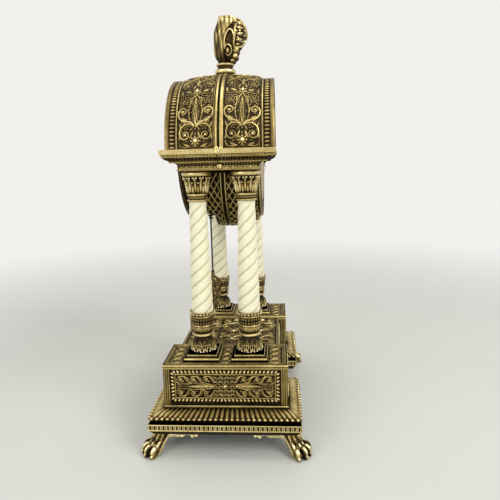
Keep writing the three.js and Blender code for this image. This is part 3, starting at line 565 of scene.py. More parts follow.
def seed(work, at, u, v, heading, length, width, height, lift=0.0, around=8, rows=5, shape=None):
    """A rounded grain lying on a ground."""
    middle, turn = lie(at, u, v, heading, lift)
    return work.ball(middle, (length / 2, width / 2, height), 0.8, around, rows, turn, shape)


def flower(work, at, u, v, radius, petals=8, bead=0.42, start=0.0):
    for petal in range(petals):
        heading = start + 360 * petal / petals
        turn = math.radians(heading)
        seed(work, at, u + 0.66 * radius * math.cos(turn), v + 0.66 * radius * math.sin(turn), heading,
             radius * 0.8, radius * 0.46, 0.85, 0.15)
    middle, turn = lie(at, u, v, 0, 0.5)
    work.ball(middle, (radius * bead, radius * bead, radius * bead), 1.0, 10, 6, turn)


def scroll(work, at, path, centre, radius, start, turns, thick=0.95, mirrored=False, bead=True):
    """A stem that ends in a spiral with a bead for its eye."""
    points = list(path) + spiral(centre, radius, radius * 0.26, start, turns, 16)
    if mirrored:
        points = [(-u, v) for u, v in points]
        centre = (-centre[0], centre[1])
    work.tubes([wire_on(at, points, thick, thick * 0.6, 0.15)])
    if bead:
        middle, turn = lie(at, centre[0], centre[1], 0, 0.25)
        work.ball(middle, (radius * 0.26,) * 3, 1.0, 8, 5, turn)


def canopy_radius(y):
    reach = min(abs(y), CANOPY_BAND)
    return CANOPY_RIM + CANOPY_CROWN * math.sqrt(1 - (reach / CANOPY_BAND) ** 2)


def canopy_ground(side, end):
    """The canopy's panel on one casting and one end: u from its middle line, v up the arch."""
    def at(u, v, lift=0.0):
        y = side * CANOPY_PANEL_Y + u
        angle = v / CANOPY_ARC
        radius = canopy_radius(y) - CANOPY_SINK + lift
        return Vector((end * radius * math.cos(angle), y, DRUM_Z + radius * math.sin(angle)))
    return at


CANOPY_RIM = 79.3
CANOPY_CROWN = 5.6
CANOPY_BAND = 41.3
CANOPY_HALF = 54.3
CANOPY_PANEL_Y = 22.9
CANOPY_ARC = 83.0
CANOPY_SINK = 0.9


def canopy_foliage(work, at, filled=True):
    """Scrolling foliage of the canopy's panels, mirrored about the middle line."""
    at = Ground(at)
    flower(work, at, 0, 10.5, 5.4)
    flower(work, at, 0, 67, 4.6, 6, 0.4, 30)
    flower(work, at, 0, 103, 4.6, 6, 0.4, 30)
    work.leaf(at, (0, 25), (0, 58), 5.0, 0.5, lobes=0, blunt=0.9, rows=18, columns=8)
    work.tubes([wire_on(at, bow((0.2, 26), (bend, 36), (bend, 46), (0, 57), 10), 0.42, 0.35, 0.7)
                for bend in (-1.9, 0, 1.9)])
    work.leaf(at, (0, 74), (0, 94), 6.5, 1.3, blunt=0.9)
    work.leaf(at, (0, 110), (0, 124), 6.5, 1.1)
    for mirrored in (False, True):
        flip = -1 if mirrored else 1

        def both(points, thick, thin=None, lift=0.15):
            work.tubes([wire_on(at, [(flip * u, v) for u, v in points], thick, thin, lift)])

        def frond(root, tip, width, bend, height=1.2, lobes=0):
            work.leaf(at, (flip * root[0], root[1]), (flip * tip[0], tip[1]), width, height, bend=-flip * bend,
                      lobes=lobes, rows=9, columns=5)

        scroll(work, at, bow((0.8, 24), (4, 29), (14.5, 29), (15.6, 19)), (10, 16.5), 5.6, 15, -1.25, 1.15, mirrored)
        scroll(work, at, bow((1, 25), (5, 33), (15, 27), (17, 38)), (12.2, 41), 5.2, -15, 1.25, 1.3, mirrored)
        scroll(work, at, bow((0.5, 62), (1.5, 56), (7.5, 58), (8.6, 54.6)), (11.4, 53.4), 3.5, 160, 1.2, 0.9, mirrored)
        both(bow((0, 63), (3, 66), (10, 60), (16.5, 63)), 0.9, 0.6)
        both(bow((0.6, 24.5), (10.4, 33), (7.2, 50), (0.3, 62)), 0.8, 0.7)
        both(bow((1.6, 27.5), (3.6, 35), (3.6, 46), (0.6, 56)), 0.45, 0.4)
        both(bow((7, 5), (12, 3.5), (16, 5), (16.6, 10)), 0.8, 0.5)
        both(bow((9, 27.5), (13, 30), (16, 33), (16.8, 39)), 0.7, 0.4, 0.5)
        frond((7.4, 31.5), (15.5, 36.5), 4.2, 1.2)
        frond((6.4, 36), (9.4, 46), 2.8, -1.0)
        frond((4, 4.6), (13.4, 9.4), 4.2, 0.8)
        frond((6.5, 11.4), (2.5, 22.5), 3.6, -1.0)
        frond((5.6, 20.2), (1.6, 26.5), 2.2, -0.5)
        frond((13.6, 22.5), (16.8, 31), 3.2, 0.4)
        frond((16.6, 10.5), (16.2, 19), 2.8, -0.5)
        frond((6.2, 50), (3.2, 60), 2.6, 0.6)
        frond((5, 66), (13.6, 71), 6.2, 0.8)
        frond((14.8, 63), (16.2, 74), 4.0, 0.2)
        frond((4.6, 71), (2.4, 80), 3.4, -0.6)
        scroll(work, at, bow((1, 96), (5, 92), (14, 88), (16, 82)), (11.6, 79.5), 4.3, 30, -1.2, 1.0, mirrored)
        scroll(work, at, bow((1.5, 84), (5, 88), (9, 92), (13, 92)), (13.2, 96.2), 4.0, -90, 1.2, 0.95, mirrored)
        frond((2.5, 96), (11, 104), 4.8, 1.0)
        scroll(work, at, bow((1, 109), (6, 108), (12, 106), (15.6, 110)), (12, 114), 4.2, -35, 1.2, 0.95, mirrored)
        frond((5.5, 109.5), (3.4, 121), 3.6, -0.8)
        frond((15.6, 101), (16.4, 109), 3.2, 0.3)
    if filled:
        fill_ground(work, at, 17.2, 1.5, 127, 2.45, 1.25)


def fan(work, at, root, headings, length, width, bend=0.8):
    """Acanthus fingers that spring from one root."""
    for index, heading in enumerate(headings):
        turn = math.radians(heading)
        reach = length * (1 - 0.12 * abs(index - (len(headings) - 1) / 2))
        tip = (root[0] + reach * math.cos(turn), root[1] + reach * math.sin(turn))
        work.leaf(at, root, tip, width, 1.2, bend=bend, rows=7, columns=4)


def leafy_bulb(work, centre):
    """Acanthus leaves with split, turned-out tips round the foot of a column."""
    for index in range(12):
        middle = 2 * math.pi * (index + 0.5) / 12

        def at(u, v, lift=0.0):
            radius = profile_radius(BASE_PROFILE, v) + lift
            angle = middle + u / 12.4
            return Vector((centre[0] + radius * math.cos(angle), centre[1] + radius * math.sin(angle), v))

        wires = [smooth_route([(at(0, 107.4, 0.3), 0.35), (at(0, 103, 0.9), 0.45), (at(0, 99.6, 1.6), 0.8)])]
        for sign in (-1, 1):
            wires.append(smooth_route([
                (at(sign * 0.5, 108.8, 0.2), 0.4), (at(sign * 2.0, 106.4, 0.7), 0.45), (at(sign * 2.6, 103.4, 1.1), 0.5),
                (at(sign * 1.8, 100.6, 1.5), 0.6), (at(sign * 1.4, 98.6, 2.1), 0.85), (at(sign * 2.4, 98.0, 2.4), 0.7)]))
            wires.append([(at(sign * 0.3, 105.4, 0.9), 0.5), (at(sign * 2.3, 104.2, 1.3), 0.6)])
        work.tubes(wires, lambda co: 0.5 + 0.06 * max(0.0, 107 - co.z))


def finial_edges(v):
    """The finial's outline at a height over its foot: its front edge, back edge and half thickness."""
    rows = FINIAL_ROWS
    for low, high in zip(rows, rows[1:]):
        if low[0] <= v <= high[0]:
            t = (v - low[0]) / (high[0] - low[0])
            return [a + (b - a) * t for a, b in zip(low[1:], high[1:])]
    return rows[-1][1:] if v > rows[-1][0] else rows[0][1:]


FINIAL_ROWS = (
    (-0.4, -6.0, 9.0, 7.0), (3, -9.0, 12.4, 10.5), (8, -9.6, 14.2, 12.5), (14, -9.8, 17.0, 14.0),
    (20, -9.6, 21.0, 15.4), (27, -9.2, 24.4, 15.8), (33, -8.8, 24.6, 15.2), (39, -6.2, 22.0, 13.0),
    (44, -5.2, 17.4, 9.6), (46.6, -4.6, 11.8, 6.6), (48.6, -4.2, 3.0, 3.4),
)


def canopies():
    for name, side in (("front", -1), ("rear", 1)):
        work = Casting()
        face = 40.0 if side < 0 else 36.4
        ground = []
        for step in range(15):
            y = 40.4 - (40.4 - 5.9) * step / 14
            ground.append((canopy_radius(y) - CANOPY_SINK, y, 0.14))
        # Third numbers are brightness: painted highlight with wear on the seam ridge's rounds, painted shade in its
        # grooves and on the sunk ground.
        ridge = ((84.4, 5.9, 0.05), (85.1, 5.4, 0.5), (85.2, 4.7, 0.5), (84.8, 4.2, 0.08), (85.5, 3.5, 0.6),
                 (85.75, 2.4, 0.76), (85.6, 1.5, 0.7), (84.6, 0.9, 0.04), (84.3, 0.15, 0.03))
        if side > 0:
            ridge = ((84.4, 5.9, 0.14), (84.4, 5.0, 0.04), (85.2, 4.4, 0.5), (85.6, 3.3, 0.68), (85.7, 2.0, 0.72),
                     (85.5, 1.0, 0.6), (84.6, 0.5, 0.06), (84.4, 0.15, 0.03))
        profile = [
            (76.3, face, 0.3), (76.3, 54.3, 0.4), (79.0, 54.3, 0.5), (79.3, 53.9, 0.58), (79.3, 50.3, 0.4),
            (78.9, 50.0, 0.3), (78.2, 49.6, 0.06), (78.2, 43.7, 0.06), (79.3, 43.4, 0.4), (80.0, 42.7, 0.7),
            (80.0, 41.9, 0.7), (79.3, 41.2, 0.1), *ground, *ridge,
            (80.5, 0.15, 0.1), (80.5, face / 2, 0.1), (76.3, face - 3, 0.1), (60.0, face - 3, 0.1),
            (60.0, face, 0.3), (76.3, face, 0.3),
        ]
        start = Matrix.Rotation(math.radians(-1.7), 3, "Y") @ Vector((1, 0, 0))
        work.turned([(r, y * side, worn) for r, y, worn in profile], (0, 0, DRUM_Z), (0, 1, 0),
                    -math.radians(176.6), 96, start)
        for rib in range(62):
            angle = math.radians(3.4) + math.radians(173.2) * rib / 61
            out = Vector((math.cos(angle), 0, math.sin(angle)))
            middle = Vector((0, side * 46.7, DRUM_Z)) + out * 78.3
            # Painted highlight on each rib's crown, painted shade down its sides.
            work.ball(middle, (3.1, 1.75, 1.3), lambda a, b, c: 0.08 + 0.58 * max(0, c) ** 0.8, 8, 5,
                      axes((0, side, 0), out), lambda a: 0.86 + 0.2 * a)
        for end in (1, -1):
            at = canopy_ground(side, end)
            since = work.count()
            canopy_foliage(work, at)
            if end > 0:
                for root, tip in (((1, 130.4), (17, 130.4)), ((-1, 130.4), (-17, 130.4))):
                    work.leaf(at, root, tip, 5.6, 1.1, lobes=4)
            work.tubes([wire_on(at, bow((-17.6, 2.6), (-6, 2.2), (6, 2.2), (17.6, 2.6), 6), 0.8)])
            # Painted shade on the panel's ground, painted highlight with wear on the raised foliage.
            work.rub_and_shade(since, lambda co: math.hypot(co.x, co.z - DRUM_Z) - canopy_radius(co.y) + CANOPY_SINK, 0.18, 0.5)
            seed(work, at, -side * 20.6, 2.5, 90, 6, 5, 2.4, 0.6)
        work.done(f"canopy_casting_{name}", "clock_body", carved_brass, [f"canopy_{name}"])


BELLY_RADIUS = 61.5
BELLY_SHARES = (
    (1, 0.82), (0.96, 0.87), (0.91, 0.9), (0.74, 0.93), (0.62, 0.95), (0.46, 0.976), (0.3, 0.99), (0.12, 1), (0, 1),
)


def belly_radius(share):
    share = min(1.0, abs(share))
    for (outer, low), (inner, high) in zip(BELLY_SHARES, BELLY_SHARES[1:]):
        if share >= inner:
            return BELLY_RADIUS * (high + (low - high) * (share - inner) / (outer - inner))
    return BELLY_RADIUS


def belly_trellis():
    for name, side, face in (("front", -1, 40.0), ("rear", 1, 36.4)):
        work = Casting()

        def at(u, v, lift=0.0):
            radius = belly_radius(u / face) + lift
            angle = v / BELLY_RADIUS
            return Vector((radius * math.cos(angle), side * u, BELLY_Z - radius * math.sin(angle)))

        whole = BELLY_RADIUS * math.pi
        near, far = 3.6, face - (4.6 if side < 0 else 2.6)
        slope = 1.78
        rise = (far - near) * slope
        pitch = 11.5
        paths = []
        count = int((whole + rise) / pitch) + 1
        for strip in range(count):
            base = -rise + (strip + 0.5) * pitch
            for turn in (0, 1):
                points = []
                for step in range(13):
                    u = near + (far - near) * step / 12
                    v = base + (u - near if turn else far - u) * slope
                    slot = side < 0 and 11.5 < u < 34.8 and at(u, v).z < 242 and abs(at(u, v).x) < 40.5
                    if -1.5 < v < whole + 1.5 and not slot:
                        points.append((u, v))
                    else:
                        if len(points) > 1:
                            paths.append(wire_on(at, points, 0.75, None, 0.1))
                        points = []
                if len(points) > 1:
                    paths.append(wire_on(at, points, 0.75, None, 0.1))
        for u, thick in ((2.2, 0.9), (far + 0.6, 0.8)):
            points = [(u, whole * step / 60) for step in range(61)]
            paths.append(wire_on(at, points, thick, None, 0.1))
        work.tubes(paths)
        # Painted highlight with wear where the trellis stands proud, painted shade where it meets the ground.
        work.rub_and_shade(0, lambda co: math.hypot(co.x, co.z - BELLY_Z) - belly_radius(co.y / face), 0.35, 0.4)
        work.done(f"belly_trellis_{name}", "clock_body", carved_brass)


def ring_beads():
    for name, y, radius, count in (("front", -42.2, 71.2, 150), ("rear", 37.6, 71.2, 150)):
        work = Casting()
        for bead in range(count):
            angle = 2 * math.pi * bead / count
            place = Vector((radius * math.cos(angle), y, DRUM_Z + radius * math.sin(angle)))
            if name == "rear" and abs(abs(place.x) - COLUMN_X) < 17 and place.z < 285:
                continue
            # Painted light: beads higher than 290 mm are bright, lower ones darker as painted shade.
            work.bead(place, 1.45, 0.85 if place.z > 290 else 0.4)
        work.done(f"drum_beads_{name}", "clock_body", carved_brass)


def gadroon_run(work, top, foot, inward, count, rise=2.1):
    """A row of egg-shaped lobes between two edges, each with a bulb at its toe."""
    top, foot = [[Vector(value) for value in edge] for edge in (top, foot)]
    for lobe in range(count):
        share = (lobe + 0.5) / count
        head = top[0].lerp(top[1], share)
        toe = foot[0].lerp(foot[1], share)
        wide = (foot[1] - foot[0]).length / count
        along = toe - head
        side = (foot[1] - foot[0]).normalized()
        up = along.cross(side)
        if up.z < 0:
            up = -up
        # Painted highlight on each lobe's crown and on its bulb, painted shade in the gaps between lobes.
        work.ball((head + toe) / 2, (along.length / 2, wide * 0.49, rise),
                  lambda a, b, c: 0.08 + 1.05 * max(0.0, c) ** 1.3 * (0.8 + 0.2 * a * a), 8, 7, axes(along, up),
                  lambda a: 0.84 + 0.2 * a)
        work.ball(toe + along.normalized() * 0.2 + up.normalized() * 0.5, (wide * 0.4, wide * 0.36, 1.3),
                  lambda a, b, c: 0.25 + 0.75 * max(0.0, c), 6, 5, axes(along, up))


def stepped(work, centre, levels, rounded=0.3):
    """A rectangular form lofted through levels of (height, half along X, half along Y, brightness), with its
    edges softened; the brightness is rubbed wear with painted highlight and painted shade."""
    small, layer = work.shape()
    corners = [small.verts.new((centre[0] + sx * levels[0][1], centre[1] + sy * levels[0][2], levels[0][0]))
               for sx, sy in ((-1, -1), (1, -1), (1, 1), (-1, 1))]
    for vert in corners:
        vert[layer] = levels[0][3]
    face = small.faces.new(corners)
    for index, (z, half_x, half_y, worn) in enumerate(levels[1:]):
        made = bmesh.ops.extrude_face_region(small, geom=[face], use_keep_orig=index == 0)["geom"]
        face = next(item for item in made if isinstance(item, bmesh.types.BMFace))
        for vert in face.verts:
            vert.co = Vector((centre[0] + math.copysign(half_x, vert.co.x - centre[0]),
                              centre[1] + math.copysign(half_y, vert.co.y - centre[1]), z))
            vert[layer] = worn
    bmesh.ops.recalc_face_normals(small, faces=small.faces)
    sharp = [edge for edge in small.edges if edge.calc_face_angle(0.0) > 0.35]
    bmesh.ops.bevel(small, geom=sharp, offset=rounded, segments=2, profile=0.5, affect="EDGES", material=-1,
                    clamp_overlap=True)
    work.join(small)


def base_blocks():
    for name, end in ENDS:
        work = Casting()
        # Last numbers are brightness: the outward-down chamfer under the squares and the cove behind the gadroons are
        # painted dark as shade, the thin rims bright as painted highlight with wear.
        stepped(work, (end * PEDESTAL_X, 0), (
            (62, 22, 57, 0.1), (24.1, 22, 57, 0.1), (24.1, 41.8, 71.5, 0.06), (29.8, 45.9, 75.9, 0.2),
            (30.2, 46, 76, 0.8), (30.4, 45.2, 75.2, 0.1), (36.2, 45.2, 75.2, 0.1), (36.6, 46, 76, 0.7),
            (36.6, 41.5, 72.5, 0.2), (39.5, 41.5, 72.5, 0.3), (41, 44.8, 75.3, 0.45), (43.5, 36.3, 69.55, 0.04), (45, 27.8, 63.8, 0.1),
            (47.4, 27.8, 63.8, 0.85), (47.4, 26.5, 62.5, 0.1), (49.0, 26.5, 62.5, 0.15), (84.6, 26.5, 62.5, 0.15),
            (86.2, 26.5, 62.5, 0.1), (86.2, 27.05, 63.05, 0.7), (88.35, 27.05, 63.05, 0.6)), 0.25)
        work.done(f"pedestal_block_{name}", "clock_body", carved_brass, [f"pedestal_{name}"])
        work = Casting()
        stepped(work, (end * PEDESTAL_X, 0), (
            (88.45, 27.6, 63.6, 0.3), (90.4, 27.6, 63.6, 0.75), (91.0, 27.1, 63.1, 0.8), (91.0, 25.9, 61.9, 0.36),
            (91.0, 25.0, 61.0, 0.34)), 0.2)
        work.done(f"slab_{name}", "clock_body", carved_brass, [f"pedestal_top_{name}"])
    work = Casting()
    # Painted shade on the chamfer and the cove here too, painted highlight on the rims.
    stepped(work, (0, 0), (
        (60, 28, 50, 0.1), (24.1, 28, 50, 0.1), (24.1, 32.6, 58.9, 0.06), (29.8, 28.7, 61.9, 0.2),
        (30.2, 28.7, 62, 0.8), (30.4, 28.7, 61.2, 0.1), (36.2, 28.7, 61.2, 0.1), (36.6, 28.7, 62, 0.7),
        (36.6, 33.2, 58, 0.2), (39.5, 33.2, 58, 0.3), (41, 29.9, 60.6, 0.45), (43.5, 38.4, 56.5, 0.04), (45, 46.8, 55.3, 0.1),
        (47.4, 46.8, 55.3, 0.85), (47.4, 48.1, 54, 0.1), (49, 48.1, 54, 0.15), (84, 48.1, 54, 0.15),
        (85.95, 48.1, 54, 0.5)), 0.2)
    work.done("middle_block", "clock_body", carved_brass, ["middle_section"])
    work = Casting()
    stepped(work, (0, 0), ((86.05, 47.2, 55, 0.3), (88.5, 47.2, 55, 0.75), (89, 46.8, 54.6, 0.8),
                           (89, 45.4, 53.2, 0.2), (88.9, 44, 52, 0.16)), 0.15)
    work.done("deck_slab", "clock_body", carved_brass, ["deck_panel"])


def plinths():
    for name, x_side, y_side in CORNERS:
        work = Casting()
        stepped(work, (x_side * COLUMN_X, y_side * COLUMN_Y), (
            (91.02, 17.9, 17.9, 0.2), (91.5, 18.3, 18.3, 0.66), (93.1, 18.3, 18.3, 0.72), (93.8, 17.7, 17.7, 0.78),
            (93.8, 16.4, 16.4, 0.06), (94.2, 15.6, 15.6, 0.1), (95.9, 15.6, 15.6, 0.66), (96.5, 15.1, 15.1, 0.74),
            (96.5, 14.3, 14.3, 0.05), (96.45, 12, 12, 0.04)), 0.12)
        work.done(f"stepped_plinth_{name}", "clock_body", carved_brass, [f"column_plinth_{name}"])


class Ground:
    """A surface to lay ornament on, which remembers where something lies."""

    def __init__(self, at):
        self.place = at
        self.marks = set()

    def __call__(self, u, v, lift=0.0):
        self.marks.add((round(u * 1.25), round(v * 1.25)))
        return self.place(u, v, lift)

    def free(self, u, v, reach):
        u, v, reach = u * 1.25, v * 1.25, reach * 1.25
        near = range(-math.ceil(reach), math.ceil(reach) + 1)
        for i in near:
            for j in near:
                if (round(u) + i, round(v) + j) in self.marks and math.hypot(round(u) + i - u, round(v) + j - v) < reach:
                    return False
        return True


def fill_ground(work, ground, half_u, v_low, v_high, spacing=2.6, reach=1.35, mirror_v=False):
    """Small leaves wherever the ground is still bare, the same on both sides of the middle line."""
    rows = round((v_high - v_low) / spacing)
    columns = round(half_u / spacing)
    spots = []
    for row in range(rows):
        v = v_low + (v_high - v_low) * (row + 0.5) / rows
        for column in range(columns):
            u = half_u * (column + (0.5 if row % 2 else 0.15)) / columns
            if ground.free(u, v, reach):
                spots.append((u, v, row + column))
    for u, v, turn in spots:
        heading = 55 * math.sin(1.9 * turn + 0.35 * v) + (45 if turn % 2 else -45)
        for flip in (-1, 1):
            way = heading if flip > 0 else 180 - heading
            seed(work, ground.place, flip * u, v, way, 3.1, 1.5, 0.8, 0.1, 6, 4)


def gadroons():
    work = Casting()
    inner = (28.1, 64.0)
    outer = (44.4, 75.0)
    high, low = 44.9, 41.6
    for _, end in ENDS:
        def corner(reach, x_sign, y_sign, z):
            return (end * PEDESTAL_X + x_sign * reach[0], y_sign * reach[1], z)
        gadroon_run(work, (corner(inner, end, -1, high), corner(inner, end, 1, high)),
                    (corner(outer, end, -1, low), corner(outer, end, 1, low)), end, 28)
        for y_sign in (-1, 1):
            gadroon_run(work, (corner(inner, 1, y_sign, high), corner(inner, -1, y_sign, high)),
                        (corner(outer, 1, y_sign, low), corner(outer, -1, y_sign, low)), end, 16)
            gadroon_run(work, (corner(inner, -end, y_sign, high), corner(inner, -end, y_sign * 0.86, high)),
                        (corner(outer, -end, y_sign, low), corner(outer, -end, y_sign * 0.86, low)), end, 2)
    for y_sign in (-1, 1):
        gadroon_run(work, ((-30, y_sign * 55.5, high), (30, y_sign * 55.5, high)),
                    ((-30, y_sign * 60.8, low), (30, y_sign * 60.8, low)), 0, 12)
    work.done("gadroon_lobes", "clock_body", carved_brass)


PEDESTAL_X = 75.0
BLOCK_X = 26.5
BLOCK_Y = 62.5


def framed_band(work, start, finish, low, high, out, pitch):
    """A run of small upright framed slots along a level band, with a thin rail above and below."""
    start, finish, out = Vector(start), Vector(finish), Vector(out)
    along = finish - start
    count = max(1, round(along.length / pitch))
    lift = out * 0.3
    work.cells(start + lift + Vector((0, 0, low)), along, (0, 0, high - low), count, 0.55, 0.9, 0.8, 0.03, out, 0.5)
    rails = []
    for z in (low - 0.2, high + 0.2):
        rails.append([(start + lift * 0.6 + Vector((0, 0, z)), 0.5), (finish + lift * 0.6 + Vector((0, 0, z)), 0.5)])
    work.tubes(rails, 0.85)
    joints = []
    for cell in range(1, count):
        spot = start + along * (cell / count) + lift
        joints.append([(spot + Vector((0, 0, low)), 0.22), (spot + Vector((0, 0, high)), 0.22)])
    work.tubes(joints, 0.2)


def base_bands():
    work = Casting()
    half_x, half_y = BLOCK_X + 19.5, BLOCK_Y + 13.5
    low, high = 30.6, 36.0
    for _, end in ENDS:
        near = end * (PEDESTAL_X + half_x)
        far = end * (PEDESTAL_X - half_x)
        framed_band(work, (near, -half_y, 0), (near, half_y, 0), low, high, (end, 0, 0), 4.45)
        for sign in (-1, 1):
            framed_band(work, (near, sign * half_y, 0), (far, sign * half_y, 0), low, high, (0, sign, 0), 4.45)
            framed_band(work, (far, sign * half_y, 0), (far, sign * 63.2, 0), low, high, (-end, 0, 0), 4.45)
    for sign in (-1, 1):
        framed_band(work, (-28.6, sign * 62.0, 0), (28.6, sign * 62.0, 0), low, high, (0, sign, 0), 4.45)
    work.done("base_squares", "clock_body", carved_brass)


def rope_frame(work, at, half_u, half_v, pitch=3.9):
    """A rectangular border of slanted grains."""
    for half, other, upright in ((half_u, half_v, False), (half_v, half_u, True)):
        count = max(2, round(2 * half / pitch))
        for sign in (-1, 1):
            for grain in range(count):
                run = -half + 2 * half * (grain + 0.5) / count
                u, v, heading = (sign * other, run, 30) if upright else (run, sign * other, 60)
                seed(work, at, u, v, heading * (1 if u * v > 0 else -1), 4.4, 2.7, 1.3, 0.15)


def wire_frame(work, at, half_u, half_v, thick, lift=0.1):
    corners = [(-half_u, -half_v), (half_u, -half_v), (half_u, half_v), (-half_u, half_v)]
    work.tubes([[(at(*corners[i], lift), thick), (at(*corners[(i + 1) % 4], lift), thick)] for i in range(4)])
    for u, v in corners:
        middle, turn = lie(at, u, v, 0, lift)
        work.ball(middle, (thick,) * 3, 0.8, 6, 4, turn)


def running_foliage(work, at, half_u, half_v):
    """Acanthus scrolls and long spindle leaves that run both ways from a plaited middle field."""
    at = Ground(at)
    field = half_v * 0.9
    rows = 5
    columns = max(3, round(2 * field / 3.1))
    for row in range(rows):
        v = -half_v + 2 * half_v * (row + 0.5) / rows
        for column in range(columns):
            u = -field + 2 * field * (column + 0.5) / columns
            if math.hypot(u / 3.0, v / 2.8) < 1:
                continue
            seed(work, at, u, v, 40 if column % 2 else -40, 4.2, 1.35, 1.15, 0.25, 6, 4)
    flower(work, at, 0, 0, half_v * 0.32, 8)
    run = half_u - field
    spindle = min(0.66 * run, 27.0)
    units = max(1, round(run / 13.5))
    length = run / units
    for flip in (-1, 1):
        def leafy(root, heading, reach, width=2.1, bend=0.6):
            turn = math.radians(heading)
            tip = (root[0] + reach * math.cos(turn), root[1] + reach * math.sin(turn))
            work.leaf(at, (flip * root[0], root[1]), (flip * tip[0], tip[1]), width, 1.3, bend=bend * flip,
                      rows=7, columns=4)

        work.leaf(at, (flip * (field + 0.6), 0), (flip * (field + spindle), 0), half_v * 0.72, 1.0, lobes=0,
                  blunt=0.6, rows=20, columns=8)
        work.tubes([wire_on(at, [(flip * (field + 0.6), 0), (flip * (field + spindle), 0)], 0.42, 0.3, 0.9)])
        for vein in range(8):
            foot = field + 1.2 + spindle * 0.1 * vein
            high = half_v * 0.27 * math.sin(math.pi * min(1.0, ((vein + 1.6) / 10) ** 0.6))
            work.tubes([wire_on(at, [(flip * foot, 0), (flip * (foot + 1.6), fold * high * 0.6),
                                     (flip * (foot + 3.6), fold * high)], 0.4, 0.3, 0.6) for fold in (-1, 1)])
        for fold in (-1, 1):
            work.tubes([wire_on(at, [(flip * u, v) for u, v in bow(
                (field + 0.4, fold * 0.6), (field + spindle * 0.3, fold * half_v * 0.42),
                (field + spindle * 0.8, fold * half_v * 0.3), (half_u - 1, fold * half_v * 0.2), 10)], 0.6, 0.45, 0.3)])
            for unit in range(units):
                foot = field + 0.6 + length * unit
                radius = half_v * 0.27
                eye = (foot + length * 0.6, fold * half_v * 0.64)
                stem = bow((foot, fold * half_v * 0.34), (foot + length * 0.05, fold * half_v * 0.8),
                           (foot + length * 0.3, fold * half_v * 0.98), (eye[0] - radius * 0.3, eye[1] + fold * radius * 0.95), 8)
                start = math.degrees(math.atan2(fold * 0.95, -0.3))
                points = stem + spiral(eye, radius, radius * 0.25, start, -1.2 * fold, 14)
                work.tubes([wire_on(at, [(flip * u, v) for u, v in points], 0.85, 0.6, 0.25)])
                middle, turn = lie(at, flip * eye[0], eye[1], 0, 0.35)
                work.ball(middle, (radius * 0.34,) * 3, 1.0, 8, 5, turn)
                for share, high, heading, reach in (
                        (0.1, 0.4, 62, 0.42), (0.3, 0.36, 30, 0.36), (0.2, 0.62, 48, 0.3), (0.92, 0.34, 84, 0.55),
                        (0.84, 0.3, 125, 0.34), (0.98, 0.6, 62, 0.36), (0.72, 0.28, 12, 0.34), (0.8, 0.95, -150, 0.28)):
                    leafy((foot + length * share, fold * half_v * high), fold * heading, half_v * reach, 2.0,
                          0.5 * fold)
    fill_ground(work, at, half_u - 0.3, -half_v + 0.4, half_v - 0.4, 2.1, 1.0)


def relief_panel(work, at, half_u, half_v, border=True):
    """Dark ground, painted shade with patina, with a rope border, a plain inner frame and foliage."""
    since = work.count()
    rope_frame(work, at, half_u - 1.9, half_v - 1.9)
    wire_frame(work, at, half_u - 4.5, half_v - 4.5, 0.7, 0.3)
    fan(work, at, (0, half_v - 3.2), (50, 90, 130), 3.6, 1.9, 0.2)
    running_foliage(work, at, half_u - 5.6, half_v - 5.5)
    middle = at(0, 0, 0)
    out = (at(0, 0, 1) - middle).normalized()
    # Painted highlight with wear on the raised ornament, painted shade low on the ground.
    work.rub_and_shade(since, lambda co: (co - middle).dot(out), 0.1, 0.64)
    half_u += 0.3
    half_v += 0.3
    corners = [at(u, v, 0) for u, v in ((-half_u, -half_v), (half_u, -half_v), (half_u, half_v), (-half_u, half_v))]
    low = Vector([min(c[i] for c in corners + [middle - out * 0.25]) for i in range(3)])
    high = Vector([max(c[i] for c in corners + [middle]) for i in range(3)])
    # The ground block is painted dark as the shade of the recess, with patina.
    work.block(low, high, 0.1)


def pedestal_panels():
    for name, end in ENDS:
        work = Casting()
        face = flat((end * (PEDESTAL_X + BLOCK_X + 0.45), 0, 68.3), (0, end, 0), (0, 0, 1), (end, 0, 0))
        relief_panel(work, face, 55.3, 17.2)
        work.done(f"end_relief_{name}", "clock_body", carved_brass, [f"end_panel_{name}"])
        work = Casting()
        for sign in (-1, 1):
            face = flat((end * PEDESTAL_X, sign * (BLOCK_Y + 0.3), 68.3), (-sign, 0, 0), (0, 0, 1), (0, sign, 0))
            relief_panel(work, face, 19.6, 17.2)
        work.done(f"side_reliefs_{name}", "clock_body", carved_brass)
    work = Casting()
    for sign in (-1, 1):
        face = flat((0, sign * 54.3, 66.4), (-sign, 0, 0), (0, 0, 1), (0, sign, 0))
        relief_panel(work, face, 45.0, 17.2)
    work.done("middle_reliefs", "clock_body", carved_brass)


def pilaster_reeds():
    work = Casting()
    reeds = []
    foot, head = 47.8, 85.9
    for _, end in ENDS:
        for sign in (-1, 1):
            for reach in (57.4, 59.5, 61.6):
                for x_sign in (-1, 1):
                    x = end * PEDESTAL_X + x_sign * BLOCK_X
                    reeds.append([((x, sign * reach, foot), 0.95), ((x, sign * reach, head), 0.95)])
            for reach in (21.6, 23.6, 25.6):
                for x_sign in (-1, 1):
                    x = end * PEDESTAL_X + x_sign * reach
                    y = sign * BLOCK_Y
                    reeds.append([((x, y, foot), 0.95), ((x, y, head), 0.95)])
    work.tubes(reeds, lambda co: 0.7)
    # Painted shade in the creases between reeds, painted highlight with wear on their crowns.
    work.rub_and_shade(0, lambda co: max(abs(abs(co.x) - PEDESTAL_X) - BLOCK_X, abs(co.y) - BLOCK_Y), 0.2, 0.55)
    work.done("corner_reeds", "clock_body", carved_brass)


